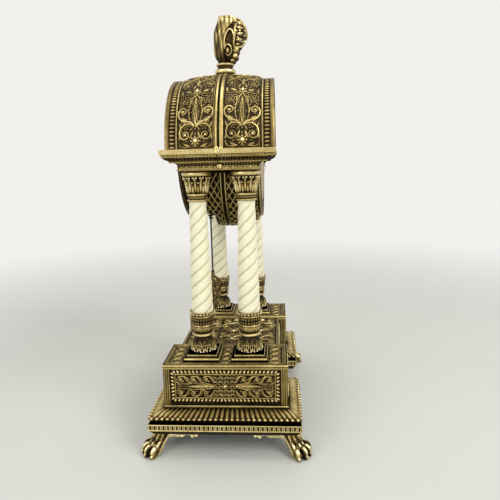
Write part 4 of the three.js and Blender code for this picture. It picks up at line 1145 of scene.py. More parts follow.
def deck_relief():
    work = Casting()
    since = work.count()
    for strip in (-1, 0, 1):
        def at(u, v, lift=0.0):
            return Vector((-42.5 + v * 0.67, strip * 33.4 + u * 0.95, 88.9 + lift * 0.6))
        canopy_foliage(work, at)
        work.tubes([[(at(sign * 17.5, 1), 0.5), (at(sign * 17.5, 126), 0.5)] for sign in (-1, 1)])
    frame_at = flat((0, 0, 89.0), (1, 0, 0), (0, 1, 0), (0, 0, 1))
    for half_u, half_v, thick in ((44.6, 52.4, 0.8), (46.4, 54.2, 0.7)):
        wire_frame(work, frame_at, half_u, half_v, thick)
    # Painted highlight with wear on the raised ornament, painted shade low on the deck.
    work.rub_and_shade(since, lambda co: co.z - 88.9, 0.16, 0.6)
    work.done("deck_relief", "clock_body", carved_brass)


def slab_ornament():
    work = Casting()
    since = work.count()

    def ring(at, u, v, reach_u, reach_v, thick, diamond=False):
        points = []
        for step in range(17):
            angle = 2 * math.pi * step / 16
            reach = 1 / (abs(math.cos(angle)) + abs(math.sin(angle))) if diamond else 1.0
            points.append((u + reach_u * reach * math.cos(angle), v + reach_v * reach * math.sin(angle)))
        work.tubes([wire_on(at, points, thick, None, 0.15)])

    for _, end in ENDS:
        at = flat((end * PEDESTAL_X, 0, 91.0), (1, 0, 0), (0, 1, 0), (0, 0, 1))
        for half_u, half_v, thick in ((25.2, 61.4, 0.5), (22.4, 58.6, 0.45)):
            wire_frame(work, at, half_u, half_v, thick, 0.0)
        ticks = []
        for half, other, upright in ((23.8, 60.0, True), (60.0, 23.8, False)):
            count = round(2 * half / 2.4)
            for sign in (-1, 1):
                for tick in range(count):
                    run = -half + 2 * half * (tick + 0.5) / count
                    lean = 0.7 if tick % 2 else -0.7
                    ends = [(run - lean, sign * (other - 1.1)), (run + lean, sign * (other + 1.1))]
                    if not upright:
                        ends = [(v, u) for u, v in ends]
                    ticks.append([(at(u, v, 0), 0.42) for u, v in ends])
        work.tubes(ticks)
        for middle, half, reach in ((-50.6, 6.2, 5.2), (0, 5.2, 4.4), (50.6, 6.2, 5.2)):
            work.tubes([[(at(-21.6, middle + sign * half, 0), 0.4), (at(21.6, middle + sign * half, 0), 0.4)]
                        for sign in (-1, 1)])
            for u in (-18.0, -6.0, 6.0, 18.0):
                ring(at, u, middle, 5.4, reach, 0.5)
                ring(at, u, middle, 3.9, reach * 0.7, 0.4)
                ring(at, u, middle, 2.4, reach * 0.44, 0.35, True)
                seed(work, at, u, middle, 0, 1.8, 1.3, 0.4)
            for u in (-24, -12, 0, 12, 24):
                for sign in (-1, 1):
                    if abs(u) < 20:
                        seed(work, at, u, middle + sign * (half - 1.8), 90, 2.6, 1.6, 0.45)
    # Painted highlight with wear on the raised engraving, painted shade low on the slab.
    work.rub_and_shade(since, lambda co: co.z - 91.0, 0.28, 0.8)
    work.done("slab_engraving", "clock_body", carved_brass)


def cornice_bands():
    work = Casting()
    for _, end in ENDS:
        for low, high, pitch, inset, worn, x_low, x_high, y_reach in (
                (293.5, 297.2, 3.6, 0.75, 0.38, 95.3, 98.7, 0.0), (287.9, 291.8, 2.8, 0.6, 0.48, 90.3, 92.9, 0.0)):
            for side in (-1, 1):
                y_low = 55.2 - 1.67 * (100 - x_low)
                y_start = side * 0.6
                y_end = side * y_low
                origin = Vector((end * (x_low + 0.35), y_start, low))
                along = Vector((0, y_end - y_start, 0))
                up = Vector((end * (x_high - x_low), 0, high - low))
                work.cells(origin, along, up, round(abs(y_end - y_start) / pitch), inset, 0.8,
                           worn, 0.02, (end, 0, 0.6))
        rails = []
        for x, z, thick in ((95.1, 292.6, 0.75), (98.9, 297.6, 0.6), (90.6, 287.1, 0.6), (91.4, 285.0, 0.6)):
            reach = 55.2 - 1.67 * (100 - x)
            for side in (-1, 1):
                rails.append([((end * x, side * 0.5, z), thick), ((end * x, side * reach, z), thick)])
        work.tubes(rails, 0.72)
        for side in (-1, 1):
            for bead in range(24):
                work.bead((end * 99.3, side * (1.4 + bead * 2.22), 298.8), 0.95, 0.7)
            for bead in range(14):
                work.bead((end * 90.3, side * (1.6 + bead * 2.7), 286.4), 1.0, 0.75)
        for index, (z, x) in enumerate(((303.4, 100.0), (302.0, 100.2), (300.8, 100.0))):
            work.ball((end * x, (-1, 1)[index % 2] * 0.5, z), (2.4, 1.3, 0.9), 0.85, 8, 5, axes((0, 1, 0.6 - 0.6 * index), (end, 0, 0)))
        curl = spiral((0, 288.2), 2.3, 0.5, -60, 1.3, 14)
        work.tubes([[(Vector((end * 93.0, u + 0.6, v)), 0.75) for u, v in curl]], 0.8)
        for side in (-1, 1):
            for arch in range(6):
                middle = side * (5.6 + arch * 5.6)
                if abs(middle) < 37:
                    work.tubes([[(Vector((end * 91.6, middle - 2.8 * math.cos(math.pi * step / 6),
                                          286.9 + 1.6 * math.sin(math.pi * step / 6))), 0.5) for step in range(7)]], 0.7)
    work.done("cornice_bands", "clock_body", carved_brass)


# Third numbers here and in the next two profiles are brightness: painted highlight with wear on the rounds, painted
# shade in the hollows.
BASE_PROFILE = (
    (9.6, 96.6, 0.1), (10.4, 97.4, 0.06), (11.0, 99.0, 0.06), (11.4, 101, 0.06), (11.5, 104, 0.06),
    (11.0, 107, 0.06), (9.9, 109.4, 0.1), (8.5, 111.2, 0.15), (8.5, 112.8, 0.15), (10.6, 113.6, 0.6),
    (11.4, 114.6, 0.9), (11.4, 115.6, 0.9), (10.6, 116.6, 0.5), (9.0, 117.2, 0.2), (10.0, 118.6, 0.5),
    (10.8, 120.8, 0.65), (10.8, 123, 0.6), (10.2, 123.9, 0.2), (11.6, 124.4, 0.7), (11.8, 125.2, 0.8),
    (11.4, 126.0, 0.4), (10.9, 126.6, 0.08), (11.2, 129, 0.08), (11.6, 133.4, 0.08), (12.9, 134.2, 0.6),
    (13.2, 135.2, 0.7), (12.8, 135.9, 0.3), (12.2, 136.6, 0.1), (12.4, 138.6, 0.1), (13.3, 139.3, 0.7),
    (13.2, 139.8, 0.8), (11.8, 139.8, 0.5), (11.75, 136.2, 0.2),
)
CAPITAL_PROFILE = (
    (9.0, 253.8, 0.3), (10.3, 254.0, 0.6), (10.4, 255.4, 0.9), (9.6, 256.1, 0.3), (8.7, 256.6, 0.15),
    (9.3, 257.4, 0.7), (9.3, 258.0, 0.7), (8.7, 258.6, 0.15), (10.0, 259.3, 0.6), (10.4, 260.4, 0.9),
    (10.2, 261.4, 0.6), (9.0, 262.0, 0.12), (9.3, 265, 0.08), (9.9, 269, 0.08), (10.8, 273, 0.08),
    (12.4, 277, 0.08), (12.6, 278.4, 0.2), (14.4, 279.0, 0.6), (15.0, 279.9, 0.85), (15.0, 281.8, 0.85),
    (14.4, 282.7, 0.6), (12.5, 283.0, 0.3), (12.5, 284.5, 0.3),
)


def profile_radius(profile, z):
    for (r0, z0, _), (r1, z1, _) in zip(profile, profile[1:]):
        if z0 <= z <= z1:
            return r0 + (r1 - r0) * (z - z0) / max(0.001, z1 - z0)
    return profile[-1][0]


def leaf_ring(work, centre, profile, count, foot, head, width, height, lobes, start=0.0, curl=0.0, bend=0.0):
    for index in range(count):
        middle = start + 2 * math.pi * index / count
        mean = profile_radius(profile, (foot + head) / 2)

        def at(u, v, lift=0.0):
            radius = profile_radius(profile, v) + lift
            angle = middle + u / mean
            return Vector((centre[0] + radius * math.cos(angle), centre[1] + radius * math.sin(angle), v))

        work.leaf(at, (0, foot), (0, head), width, height, lobes=lobes, curl=curl, bend=bend, rows=12, columns=6)


def column_metalwork():
    for name, x_side, y_side in CORNERS:
        centre = (x_side * COLUMN_X, y_side * COLUMN_Y)
        work = Casting()
        work.turned(BASE_PROFILE, (*centre, 0), (0, 0, 1), steps=40)
        leafy_bulb(work, centre)
        for index in range(22):
            angle = 2 * math.pi * index / 22
            out = Vector((math.cos(angle), math.sin(angle), 0))
            spot = Vector((*centre, 0)) + out * 12.5
            work.bead(spot + Vector((0, 0, 137.7)), 1.45, 0.9)
        for index in range(26):
            angle = 2 * math.pi * index / 26
            out = Vector((math.cos(angle), math.sin(angle), 0))
            tilt = (out * 0.09 + Vector((0, 0, 1)))
            # Painted highlight on each grain's crown, painted shade on its sides.
            for z, size in ((128.0, 1.7), (131.8, 1.9)):
                work.ball(Vector((*centre, z)) + out * (11.1 + (z - 128) * 0.05), (size, 1.05, 1.1),
                          lambda a, b, c: 0.1 + 0.65 * max(0, c), 6, 5, axes(tilt, out))
        for index in range(18):
            angle = 2 * math.pi * index / 18
            out = Vector((math.cos(angle), math.sin(angle), 0))
            # Painted highlight on each grain's crown, painted shade on its sides.
            work.ball(Vector((*centre, 121.0)) + out * 10.6, (2.2, 1.1, 0.7),
                      lambda a, b, c: 0.3 + 0.5 * max(0, c), 6, 4, axes((0, 0, 1), out))
        work.done(f"column_cup_{name}", "clock_body", carved_brass, [f"column_base_{name}"])

        work = Casting()
        work.turned(CAPITAL_PROFILE, (*centre, 0), (0, 0, 1), steps=40)
        leaf_ring(work, centre, CAPITAL_PROFILE, 12, 262.0, 271.0, 3.6, 1.5, 3, math.pi / 12, curl=0.7)
        leaf_ring(work, centre, CAPITAL_PROFILE, 12, 262.4, 277.6, 3.9, 1.6, 5, 0.0, curl=1.0)
        for index in range(12):
            angle = 2 * math.pi * index / 12
            out = Vector((math.cos(angle), math.sin(angle), 0))
            side = Vector((-out.y, out.x, 0))
            for sign in (-1, 1):
                work.bead(Vector((*centre, 277.0)) + out * 13.3 + side * (sign * 1.35), 1.15, 0.95)
            work.bead(Vector((*centre, 275.2)) + out * 13.0, 0.95, 0.8)
            half = angle + math.pi / 12
            out = Vector((math.cos(half), math.sin(half), 0))
            work.bead(Vector((*centre, 272.2)) + out * 11.4, 1.0, 0.85)
        for index in range(24):
            angle = 2 * math.pi * (index + 0.5) / 24
            out = Vector((math.cos(angle), math.sin(angle), 0))
            work.ball(Vector((*centre, 269)) + out * 10.2, (5.8, 0.45, 0.6), 0.6, 4, 4,
                      axes(out * 0.16 + Vector((0, 0, 1)), out))
        work.done(f"capital_leaves_{name}", "clock_body", carved_brass, [f"capital_{name}"])


def rear_edge():
    """A gold line round the edge of the plate at the back of the drum."""
    work = Casting()
    ring = []
    for step in range(91):
        angle = math.radians(4 * step)
        ring.append((Vector((71.8 * math.cos(angle), 37.5, DRUM_Z + 71.8 * math.sin(angle))), 1.0))
    work.tubes([ring], 0.8)
    work.done("rear_edge_lines", "clock_body", carved_brass)


def paw_feet():
    for name, x_side, y_side in CORNERS:
        work = Casting()
        splay = math.radians(32)
        out = Vector((math.sin(splay), math.cos(splay), 0))
        side = Vector((out.y, -out.x, 0))
        centre = Vector((105.6, 63.9, 0))

        def spot(a, b, z):
            return centre + out * a + side * b + Vector((0, 0, z))

        def limb(a, b, z, size, heading=0.0, tilt=0.0, worn=None, around=12, rows=8):
            turn = math.radians(heading)
            along = out * math.cos(turn) + side * math.sin(turn)
            lean = math.radians(tilt)
            forward = along * math.cos(lean) + Vector((0, 0, math.sin(lean)))
            up = Vector((0, 0, 1)) * math.cos(lean) - along * math.sin(lean)
            # Painted highlight: the upper side of each part is brighter.
            plain = lambda p, q, r: 0.4 + 0.3 * max(0.0, r)
            work.ball(spot(a, b, z), size, worn or plain, around, rows, axes(forward, up))

        def toe_shade(shift):
            """Painted highlight on the crown and front of a toe and, on an outer toe, down its outer side, with painted
            shade in the creases between toes.
            """
            return lambda p, q, r: (0.06 + max(0.0, 1 - ((q + shift) / 0.74) ** 2)
                                    * (0.4 + 0.7 * max(0.0, 0.5 * p + r, abs(shift) * 1.2)))

        limb(12.0, 0, 4.6, (9.2, 9.2, 4.6))
        limb(10.0, 0, 9.0, (8.2, 7.0, 5.4), tilt=-32)
        for b, a, heading in ((-8.4, 13.6, 26), (-2.9, 17.4, 9), (2.9, 17.4, -9), (8.4, 13.6, -26)):
            turn = math.radians(-heading)
            shade = toe_shade(0.4 * (b > 5) - 0.4 * (b < -5))
            limb(a, b, 6.3, (5.8, 3.15, 6.2), -heading, -8, shade, 16, 10)
            limb(a + 2.4 * math.cos(turn), b + 2.4 * math.sin(turn), 3.3, (4.2, 2.5, 3.3), -heading, -12, shade, 12, 8)
            limb(a - 5.6 * math.cos(turn), b * 0.8, 12.0, (6.0, 2.1, 2.4), -heading, -38, shade, 12, 7)
        leg = [(spot(12.0, 0, 7.4), 5.6), (spot(9.0, 0, 10.6), 5.9), (spot(5.8, 0, 14.2), 5.9),
               (spot(2.6, 0, 18.0), 6.4), (spot(0.2, 0, 21.2), 7.2), (spot(-1.4, 0, 23.8), 8.0)]
        work.tubes([leg], 0.22, 4)

        def shin(u, v, lift=0.0):
            """The leg's front: u round it, v up it."""
            share = (v - 8) / 15.8
            radius = 6.0 + 2.0 * max(0.0, share) ** 2.4 + lift
            angle = u / 6.4
            base = spot(12.0 - 13.4 * min(1.0, max(0.0, share)) ** 0.9, 0, v)
            lean = (Vector((0, 0, 1)) * 0.6 + out * 0.8)
            return base + lean * (radius * math.cos(angle)) + side * (radius * math.sin(angle))

        for u, foot, head, width, curl in ((0, 12.0, 22.6, 5.2, 1.6), (-5.4, 11.0, 22.0, 4.4, 1.2),
                                           (5.4, 11.0, 22.0, 4.4, 1.2), (-9.6, 12.5, 22.6, 3.8, 0.8),
                                           (9.6, 12.5, 22.6, 3.8, 0.8)):
            work.leaf(shin, (u * 0.7, head), (u, foot), width, 2.0, lobes=3, rows=12, columns=6, curl=curl)
            for sign in (-1, 1):
                work.leaf(shin, (u * 0.7, head - 1), (u * 0.8 + sign * 2.6, head - 6), 1.8, 2.0, rows=6, columns=4,
                          curl=1.2)
        edges = []
        for sign in (-1, 1):
            edges.append([(spot(-4.6, sign * 7.0, 22.8), 1.2), (spot(-1.4, sign * 6.4, 17.6), 1.2),
                          (spot(2.2, sign * 6.2, 12.6), 1.2), (spot(5.4, sign * 6.6, 7.8), 1.2),
                          (spot(8.4, sign * 7.6, 3.6), 1.3), (spot(12.4, sign * 8.6, 1.6), 1.2)])
        work.tubes([smooth_route(edge) for edge in edges], 0.8)
        for first, last, ball_way in (((5.0, -5.0), (4.4, -31.5), Vector((0, 1, 0))),
                                      ((-6.0, 3.0), (-31.5, 3.4), Vector((1, 0, 0)))):
            a = centre + Vector((first[0] - 3, first[1], 17.6))
            b = centre + Vector((last[0], last[1], 20.8))
            arm = [(a, 3.2), (a.lerp(b, 0.2) + Vector((0, 0, 1.6)), 2.9), (a.lerp(b, 0.45) + Vector((0, 0, 1.4)), 2.3),
                   (a.lerp(b, 0.72) + Vector((0, 0, 1.0)), 1.9), (b, 1.7)]
            # Painted highlight: the bracket arms, balls and leaves are made bright though they face down into the dim
            # space under the base.
            work.tubes([smooth_route(arm)], 0.95, 2)
            work.bead(b + Vector((0, 0, -1.9)) + ball_way * 1.8, 2.7, 1.0, 2)
            work.bead(b + Vector((0, 0, -1.3)) - ball_way * 2.4, 2.4, 1.0, 2)
            for leafy in range(4):
                middle = a.lerp(b, 0.08 + 0.15 * leafy)
                work.ball(middle + Vector((0, 0, -0.6 - 0.3 * leafy)), (3.4, 1.7, 1.3), 0.95, 8, 5,
                          axes((b - a) + Vector((0, 0, -12 + 5 * leafy)), (0, 0, -1)))
        mirror = (x_side, y_side, 1)
        work.done(f"lion_paw_{name}", "clock_body", carved_brass, [f"foot_{name}"], mirror=mirror, outward=True)


FINIAL_Z = 400.5


def scroll_finial():
    work = Casting()

    def cheek(side):
        def at(u, v, lift=0.0):
            """The finial's side: u towards the back, v up, bulging outwards."""
            near, far, deep = finial_edges(v)
            middle, half = (near + far) / 2, (far - near) / 2
            bulge = math.sqrt(max(0.0, 1 - ((u - middle) / half) ** 2)) if abs(u - middle) < half else 0.0
            way = Vector((side * bulge, (u - middle) / half, 0)).normalized() if bulge or lift else Vector((side, 0, 0))
            return Vector((side * deep * bulge, u, FINIAL_Z + v)) + way * lift
        return at

    def shell(around, share):
        v = -0.4 + 48.4 * share
        near, far, deep = finial_edges(v)
        angle = 2 * math.pi * around
        size = 0.93 * math.sqrt(min(1.0, 8 * (1 - share), 40 * share))
        return Vector((size * deep * math.sin(angle), (near + far) / 2 + size * (far - near) / 2 * math.cos(angle),
                       FINIAL_Z + v)), 0.24

    work.sheet(shell, (0, 1), (0, 1), 36, 30)
    work.ball((0, -2.8, FINIAL_Z + 46.2), (3.2, 1.5, 4.0), 0.7, 12, 8, axes((0, 0.1, 1), (1, 0, 0)))
    work.ball((0, 3.2, FINIAL_Z + 43.4), (9.4, 9.0, 4.4), lambda a, b, c: 0.4 + 0.2 * c, 24, 12, axes((0, 1, -0.34), (0, 0, 1)))
    left = ((-3.5, 0.2), (-8.0, 6), (-8.8, 14), (-8.7, 24), (-8.2, 31), (-5.4, 37.0), (-3.6, 42.0), (-3.0, 46.0))
    right = ((2.0, 0.6), (1.0, 6), (-0.4, 13), (-0.6, 21), (1.6, 29), (5.4, 35.4), (9.8, 39.6), (12.4, 41.2))
    for side in (1, -1):
        at = cheek(side)
        since = work.count()
        flutes = 6
        for flute in range(flutes):
            t = flute / (flutes - 1)
            route = []
            for (u0, v0), (u1, v1) in zip(left, right):
                u, v = u0 + (u1 - u0) * t, v0 + (v1 - v0) * t
                if v > 38:
                    v -= 0.8 * math.sin(math.pi * t)
                route.append((at(u, v, 0.1), 2.1 + 0.5 * math.sin(2.4 * flute + 0.8)))
            work.tubes([smooth_route(route)], 0.6, 3)
        lip = (((-3.0, 48.0), 0.9), ((-1.4, 46.9), 1.2), ((1.6, 45.9), 1.5), ((5.4, 45.6), 1.9), ((9.0, 44.2), 2.3),
               ((12.0, 41.4), 2.7), ((13.2, 37.8), 2.6), ((12.4, 35.0), 1.6))
        work.tubes([smooth_route([(at(u, v, -0.2), thick) for (u, v), thick in lip])], 0.7, 3)
        # Painted highlights in bands across the flutes, brighter towards the top as painted light, over random tone.
        work.rub_and_shade(since, lambda co: 0.4 + 0.24 * math.sin(co.y * 1.3 + co.z * 0.16)
                 + 0.5 * noise.noise(Vector((co.x * 0.1, co.y * 0.34, co.z * 0.07))) + 0.012 * (co.z - FINIAL_Z - 20),
                 0.08, 0.85)
        knob, turn = lie(at, 12.2, 40.2, 112, 1.6)
        # Painted highlight on the knob's crown.
        work.ball(knob, (4.4, 2.8, 3.0), lambda a, b, c: 0.3 + 0.6 * max(0, c), 14, 9, turn)
        wires = [
            (((11.6, 43.6), (16.6, 42.6), (20.6, 38.6), (23.4, 33.4), (24.0, 28), (22.6, 22.4), (19.4, 17.6),
              (15.2, 14.2), (10.6, 12.6)), 1.3),
            (((14.4, 37.0), (12.8, 32.4), (13.0, 27.6), (12.0, 22.0), (11.0, 17.0), (11.4, 13.2)), 1.15),
            (((1.6, 13.6), (1.6, 19.4), (3.2, 25.6), (6.6, 30.4), (10.0, 29.6), (11.6, 25.0), (11.2, 20.6)), 1.3),
            (((0.6, 10.6), (3.6, 16.0), (7.8, 14.2), (7.8, 8.8), (4.8, 5.4), (1.6, 7.6), (0.6, 10.6)), 0.95),
        ]
        for route, thick in wires:
            work.tubes([smooth_route([(at(u, v, 0.6), thick) for u, v in route])], 0.8)
        work.leaf(at, (4.4, 7.4), (4.4, 13.6), 4.2, 1.2, rows=8, columns=5)
        for root, tip, width in (((14.6, 40.4), (21.4, 35.6), 4.6), ((14.0, 33.4), (22.6, 32.6), 5.0),
                                 ((14.4, 25.4), (22.2, 28.6), 4.8), ((13.4, 19.6), (20.6, 22.8), 4.6),
                                 ((12.4, 15.6), (17.4, 18.0), 3.0)):
            work.leaf(at, root, tip, width, 2.1, rows=8, columns=5)
        for u, v, size in ((17.6, 29.9, 1.3), (14.6, 29.4, 1.0), (21.6, 25.4, 1.1), (17.4, 36.8, 1.1), (22.4, 30.4, 0.9),
                           (15.4, 22.9, 1.1), (18.8, 19.8, 0.9), (18.2, 40.2, 1.0)):
            middle, turn = lie(at, u, v, 0, 0.8)
            work.ball(middle, (size,) * 3, 0.95, 8, 5, turn)
        # Painted highlight on the crowns of the tail's balls.
        tail = axes((0, 0.25, 1), (side, 0, 0))
        work.ball((side * 7.0, 12.4, FINIAL_Z + 11.6), (4.6, 4.0, 4.0), lambda a, b, c: 0.3 + 0.5 * max(0, c), 14, 9, tail)
        work.ball((side * 6.0, 11.6, FINIAL_Z + 5.6), (3.6, 3.6, 3.6), lambda a, b, c: 0.35 + 0.5 * max(0, c), 14, 9, tail)
        work.ball((side * 4.4, 8.6, FINIAL_Z + 1.4), (2.9, 3.4, 3.0), lambda a, b, c: 0.25 + 0.5 * max(0, c), 12, 8, tail)
    work.done("finial_scrollwork", "clock_body", carved_brass, ["finial"], crease=60, merge=0.001)


def smooth_route(route, parts=3):
    """More points along a route of (point, radius), rounded through the given ones."""
    points = []
    places = [(Vector(p), r) for p, r in route]
    for i in range(len(places) - 1):
        p0 = places[max(0, i - 1)][0]
        p1, r1 = places[i]
        p2, r2 = places[i + 1]
        p3 = places[min(len(places) - 1, i + 2)][0]
        for step in range(parts):
            t = step / parts
            place = 0.5 * ((2 * p1) + (p2 - p0) * t + (2 * p0 - 5 * p1 + 4 * p2 - p3) * t ** 2
                           + (3 * p1 - p0 - 3 * p2 + p3) * t ** 3)
            points.append((place, r1 + (r2 - r1) * t))
    points.append(places[-1])
    return points


# Third numbers are brightness: painted highlight with wear on the rounds, painted shade in the hollows.
COLLAR_PROFILE = (
    (9.6, 387.9, 0.2), (11.0, 388.3, 0.6), (11.6, 389.6, 0.9), (11.6, 391.4, 0.9), (11.0, 392.6, 0.6),
    (9.4, 393.4, 0.2), (8.2, 394.4, 0.25), (8.2, 395.6, 0.3), (9.2, 396.2, 0.4), (9.9, 397.2, 0.85),
    (9.9, 398.6, 0.85), (9.2, 399.4, 0.5), (7.6, 400.1, 0.2), (7.0, 400.5, 0.3),
)


def collar_rings():
    work = Casting()
    work.turned(COLLAR_PROFILE, (0, 0, 0), (0, 0, 1), steps=40)
    work.done("neck_rings", "clock_body", carved_brass, ["finial_collar"])


def openwork_bob():
    work = Casting()
    centre_z = 135.4
    twist = math.radians(-16)
    pendulum_y = -23.1

    def at(u, v, lift=0.0):
        return Vector((u * math.cos(twist) - lift * math.sin(twist),
                       pendulum_y + u * math.sin(twist) + lift * math.cos(twist), centre_z + v))

    rim = []
    for step in range(37):
        angle = 2 * math.pi * step / 36
        wave = 1 + 0.05 * math.cos(8 * angle)
        rim.append((18.6 * wave * math.cos(angle), 21.8 * wave * math.sin(angle)))
    work.tubes([wire_on(at, rim, 1.5)])
    inner = []
    for step in range(25):
        angle = 2 * math.pi * step / 24
        inner.append((9.4 * math.cos(angle), 11.2 * math.sin(angle)))
    work.tubes([wire_on(at, inner, 1.1)])
    for lobe in range(8):
        angle = 2 * math.pi * (lobe + 0.5) / 8
        heading = math.degrees(angle)
        for lift in (0.6, -0.6):
            seed(work, at, 14.0 * math.cos(angle), 16.6 * math.sin(angle), heading, 9.4, 4.6, 1.5, lift)
        angle = 2 * math.pi * lobe / 8
        eye = (14.2 * math.cos(angle), 16.8 * math.sin(angle))
        work.tubes([wire_on(at, spiral(eye, 3.6, 0.9, math.degrees(angle), 1.3 if lobe % 2 else -1.3), 0.9, 0.6)])
    for lift in (0.4, -0.4):
        for petal in range(8):
            angle = 2 * math.pi * petal / 8
            seed(work, at, 5.2 * math.cos(angle), 6.2 * math.sin(angle), math.degrees(angle), 8.0, 3.2, 1.3, lift)
        middle, turn = lie(at, 0, 0, 0, lift * 3)
        work.ball(middle, (2.6, 2.6, 1.8), 0.9, 12, 8, turn)
    eyelet = []
    for step in range(17):
        angle = 2 * math.pi * step / 16
        eyelet.append((3.0 * math.cos(angle), 26.4 + 3.0 * math.sin(angle)))
    work.tubes([wire_on(at, eyelet, 1.15)])
    work.rub_and_shade(0, lambda co: 0.5 + 0.6 * noise.noise(co * 0.35), 0.12, 0.62)
    work.done("openwork_bob", "pendulum", carved_brass, ["pendulum_bob"])


def hook_and_rod():
    work = Casting()
    y = -23.1
    work.block((-3.0, y - 1.6, 226.8), (3.0, y + 2.5, 228.6), 0.5, rounded=0.35)
    work.block((-3.0, y - 2.5, 229.6), (3.0, y + 2.5, 231.6), 0.5, rounded=0.35)
    work.block((-1.2, y - 0.9, 227.6), (1.2, y + 0.9, 231.0), 0.5, rounded=0.35)
    rod = [((0, y, 228.0), 0.95), ((0, y, 167.0), 0.95)]
    tip = [((0, y, 168.0), 0.9), ((0.2, y, 164.4), 0.8), ((1.6, y, 162.6), 0.8), ((2.6, y, 164.0), 0.8)]
    work.tubes([rod, tip], 0.5, 3)
    work.done("t_hook_rod", "pendulum", black_plastic, ["pendulum_rod"])


BACKDROP = (0.887, 0.875, 0.845, 1.0)
NUMERALS = ("XII", "I", "II", "III", "IIII", "V", "VI", "VII", "VIII", "IX", "X", "XI")


def dial_marks():
    """Upright numerals made of strokes, and a minute ring of dots, on the dial's face."""
    work = Casting()
    face_y = -41.3
    thick = 0.22

    def stroke(angle, u0, r0, u1, r1, width):
        radial = Vector((math.sin(angle), 0, math.cos(angle)))
        across = Vector((math.cos(angle), 0, -math.sin(angle)))
        start = radial * r0 + across * u0
        end = radial * r1 + across * u1
        way = (end - start).normalized()
        side = Vector((way.z, 0, -way.x)) * (width / 2)
        corners = [start - side, start + side, end + side, end - side]
        front = [work.bm.verts.new(Vector((c.x, face_y - thick, DRUM_Z + c.z))) for c in corners]
        back = [work.bm.verts.new(Vector((c.x, face_y + 0.05, DRUM_Z + c.z))) for c in corners]
        work.bm.faces.new(front)
        for i in range(4):
            work.bm.faces.new((front[i], back[i], back[(i + 1) % 4], front[(i + 1) % 4]))

    low, high = 35.5, 45.5
    for hour, numeral in enumerate(NUMERALS):
        angle = math.radians(30 * hour)
        widths = {"I": 2.3, "V": 5.2, "X": 5.2}
        total = sum(widths[letter] for letter in numeral)
        run = -total / 2
        for letter in numeral:
            middle = run + widths[letter] / 2
            if letter == "I":
                stroke(angle, middle, low, middle, high, 1.1)
            elif letter == "V":
                stroke(angle, middle - 2.0, high, middle, low, 1.2)
                stroke(angle, middle + 2.0, high, middle, low, 0.55)
            else:
                stroke(angle, middle - 2.0, high, middle + 2.0, low, 1.2)
                stroke(angle, middle + 2.0, high, middle - 2.0, low, 0.55)
            run += widths[letter]
    for minute in range(60):
        angle = math.radians(6 * minute)
        stroke(angle, 0, 47.4, 0, 49.6 if minute % 5 else 50.6, 0.5 if minute % 5 else 1.0)
    for radius in (47.2, 50.8):
        for step in range(96):
            first, last = (math.radians(3.75 * (step + k)) for k in (0, 1))
            a = Vector((radius * math.sin(first), radius * math.cos(first)))
            b = Vector((radius * math.sin(last), radius * math.cos(last)))
            mid = (first + last) / 2
            half = radius * math.sin(math.radians(1.9))
            stroke(mid, -half, radius, half, radius, 0.28)
    work.done("dial_marks", "clock_body", dial_ink)


def column_shafts():
    for name, x_side, y_side in CORNERS:
        work = Casting()
        foot, head = 136.0, 253.7

        def at(around, share):
            angle = around * 2 * math.pi
            radius = 11.4 + (8.6 - 11.4) * share + 0.3 * math.sin(math.pi * share)
            turn = 4 * angle - 2 * math.pi * share * (head - foot) / 12.2
            groove = max(0.0, math.cos(turn)) ** 3
            blend = min(1.0, share * 30, (1 - share) * 30)
            radius -= 0.9 * groove * blend
            place = Vector((radius * math.cos(angle) + x_side * COLUMN_X,
                            radius * math.sin(angle) + y_side * COLUMN_Y, foot + (head - foot) * share))
            # Painted shade: darker down in each groove of the twist.
            return place, 0.9 - 0.8 * groove * blend

        work.sheet(at, (0, 1), (0, 1), 80, 90)
        work.done(f"twisted_shaft_{name}", "clock_body", ivory, [f"column_shaft_{name}"], crease=70,
                  merge=0.001)


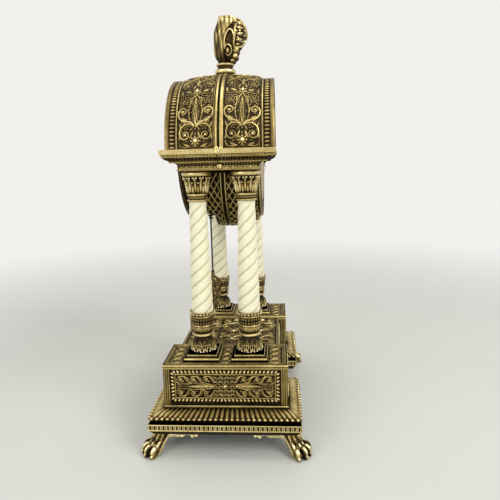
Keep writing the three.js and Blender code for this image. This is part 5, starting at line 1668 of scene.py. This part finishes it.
def studio():
    scene = bpy.context.scene
    scene.view_settings.view_transform = "Standard"
    floor = Finish("pale_floor", Roughness=0.5)
    tint = floor.noise(3.0, 2.0)
    floor.set("Base Color", floor.ramp(tint, (0.3, tone(201, 202, 196)), (0.7, tone(206, 207, 201))))
    distance = floor.node("ShaderNodeVectorMath", {"operation": "LENGTH"}, {0: floor.place()}).out("Value")
    far = floor.node("ShaderNodeMapRange", {"interpolation_type": "SMOOTHSTEP"}, {
        "Value": distance, "From Min": 0.3, "From Max": 1.3}).out("Result")
    glow = floor.node("ShaderNodeEmission", None, {"Color": BACKDROP, "Strength": 1.0}).out("Emission")
    plain = Socket(floor, floor.shader.outputs["BSDF"])
    both = floor.node("ShaderNodeMixShader", None, {0: far, 1: plain, 2: glow}).out("Shader")
    ending = next(n for n in floor.tree.nodes if n.type == "OUTPUT_MATERIAL")
    floor.feed(ending.inputs["Surface"], both)
    bm = bmesh.new()
    bmesh.ops.create_grid(bm, x_segments=1, y_segments=1, size=6.0)
    mesh = bpy.data.meshes.new("floor")
    bm.to_mesh(mesh)
    bm.free()
    mesh.materials.append(floor.material)
    ground = bpy.data.objects.new("floor", mesh)
    bpy.context.collection.objects.link(ground)

    world = bpy.data.worlds.new("studio")
    scene.world = world
    world.use_nodes = True
    tree = world.node_tree
    background = tree.nodes["Background"]
    rays = tree.nodes.new("ShaderNodeLightPath")
    seen = tree.nodes.new("ShaderNodeMath")
    seen.operation = "MAXIMUM"
    tree.links.new(rays.outputs["Is Camera Ray"], seen.inputs[0])
    tree.links.new(rays.outputs["Is Transmission Ray"], seen.inputs[1])
    reflected = tree.nodes.new("ShaderNodeMath")
    reflected.operation = "MAXIMUM"
    tree.links.new(seen.outputs[0], reflected.inputs[0])
    tree.links.new(rays.outputs["Is Glossy Ray"], reflected.inputs[1])
    mix = tree.nodes.new("ShaderNodeMix")
    mix.inputs[2].default_value = 0.55
    mix.inputs[3].default_value = 1.0
    tree.links.new(reflected.outputs[0], mix.inputs[0])
    background.inputs["Color"].default_value = BACKDROP
    tree.links.new(mix.outputs[0], background.inputs["Strength"])

    for name, place, power, size in (
            ("key", (0.9, 1.1, 1.25), 16.0, 0.7), ("fill", (1.3, -1.0, 0.9), 9.0, 0.9), ("top", (0.1, 0.0, 1.7), 9.0, 0.8)):
        lamp = bpy.data.lights.new(name, "AREA")
        lamp.energy = power
        lamp.size = size
        holder = bpy.data.objects.new(name, lamp)
        holder.location = place
        holder.rotation_euler = (Vector((0, 0, 0.22)) - Vector(place)).to_track_quat("-Z", "Y").to_euler()
        bpy.context.collection.objects.link(holder)


def photo_camera():
    camera = bpy.data.cameras.new("camera")
    camera.lens = 33.36
    camera.sensor_width = 36.0
    camera.shift_x = -0.0008
    camera.shift_y = -0.0216
    holder = bpy.data.objects.new("camera", camera)
    forward = Vector((-0.98440, -0.06309, -0.16425))
    up = Vector((-0.16552, 0.01544, 0.98608))
    right = forward.cross(up)
    turn = Matrix((right, up, -forward)).transposed()
    holder.matrix_world = Matrix.Translation((0.5372, 0.0574, 0.2913)) @ turn.to_4x4()
    bpy.context.collection.objects.link(holder)
    bpy.context.scene.camera = holder


finish_nodes()
studio()
photo_camera()
base_blocks()
plinths()
column_shafts()
column_metalwork()
canopies()
belly_trellis()
ring_beads()
cornice_bands()
gadroons()
base_bands()
pedestal_panels()
pilaster_reeds()
deck_relief()
slab_ornament()
paw_feet()
scroll_finial()
rear_edge()
collar_rings()
openwork_bob()
hook_and_rod()
dial_marks()
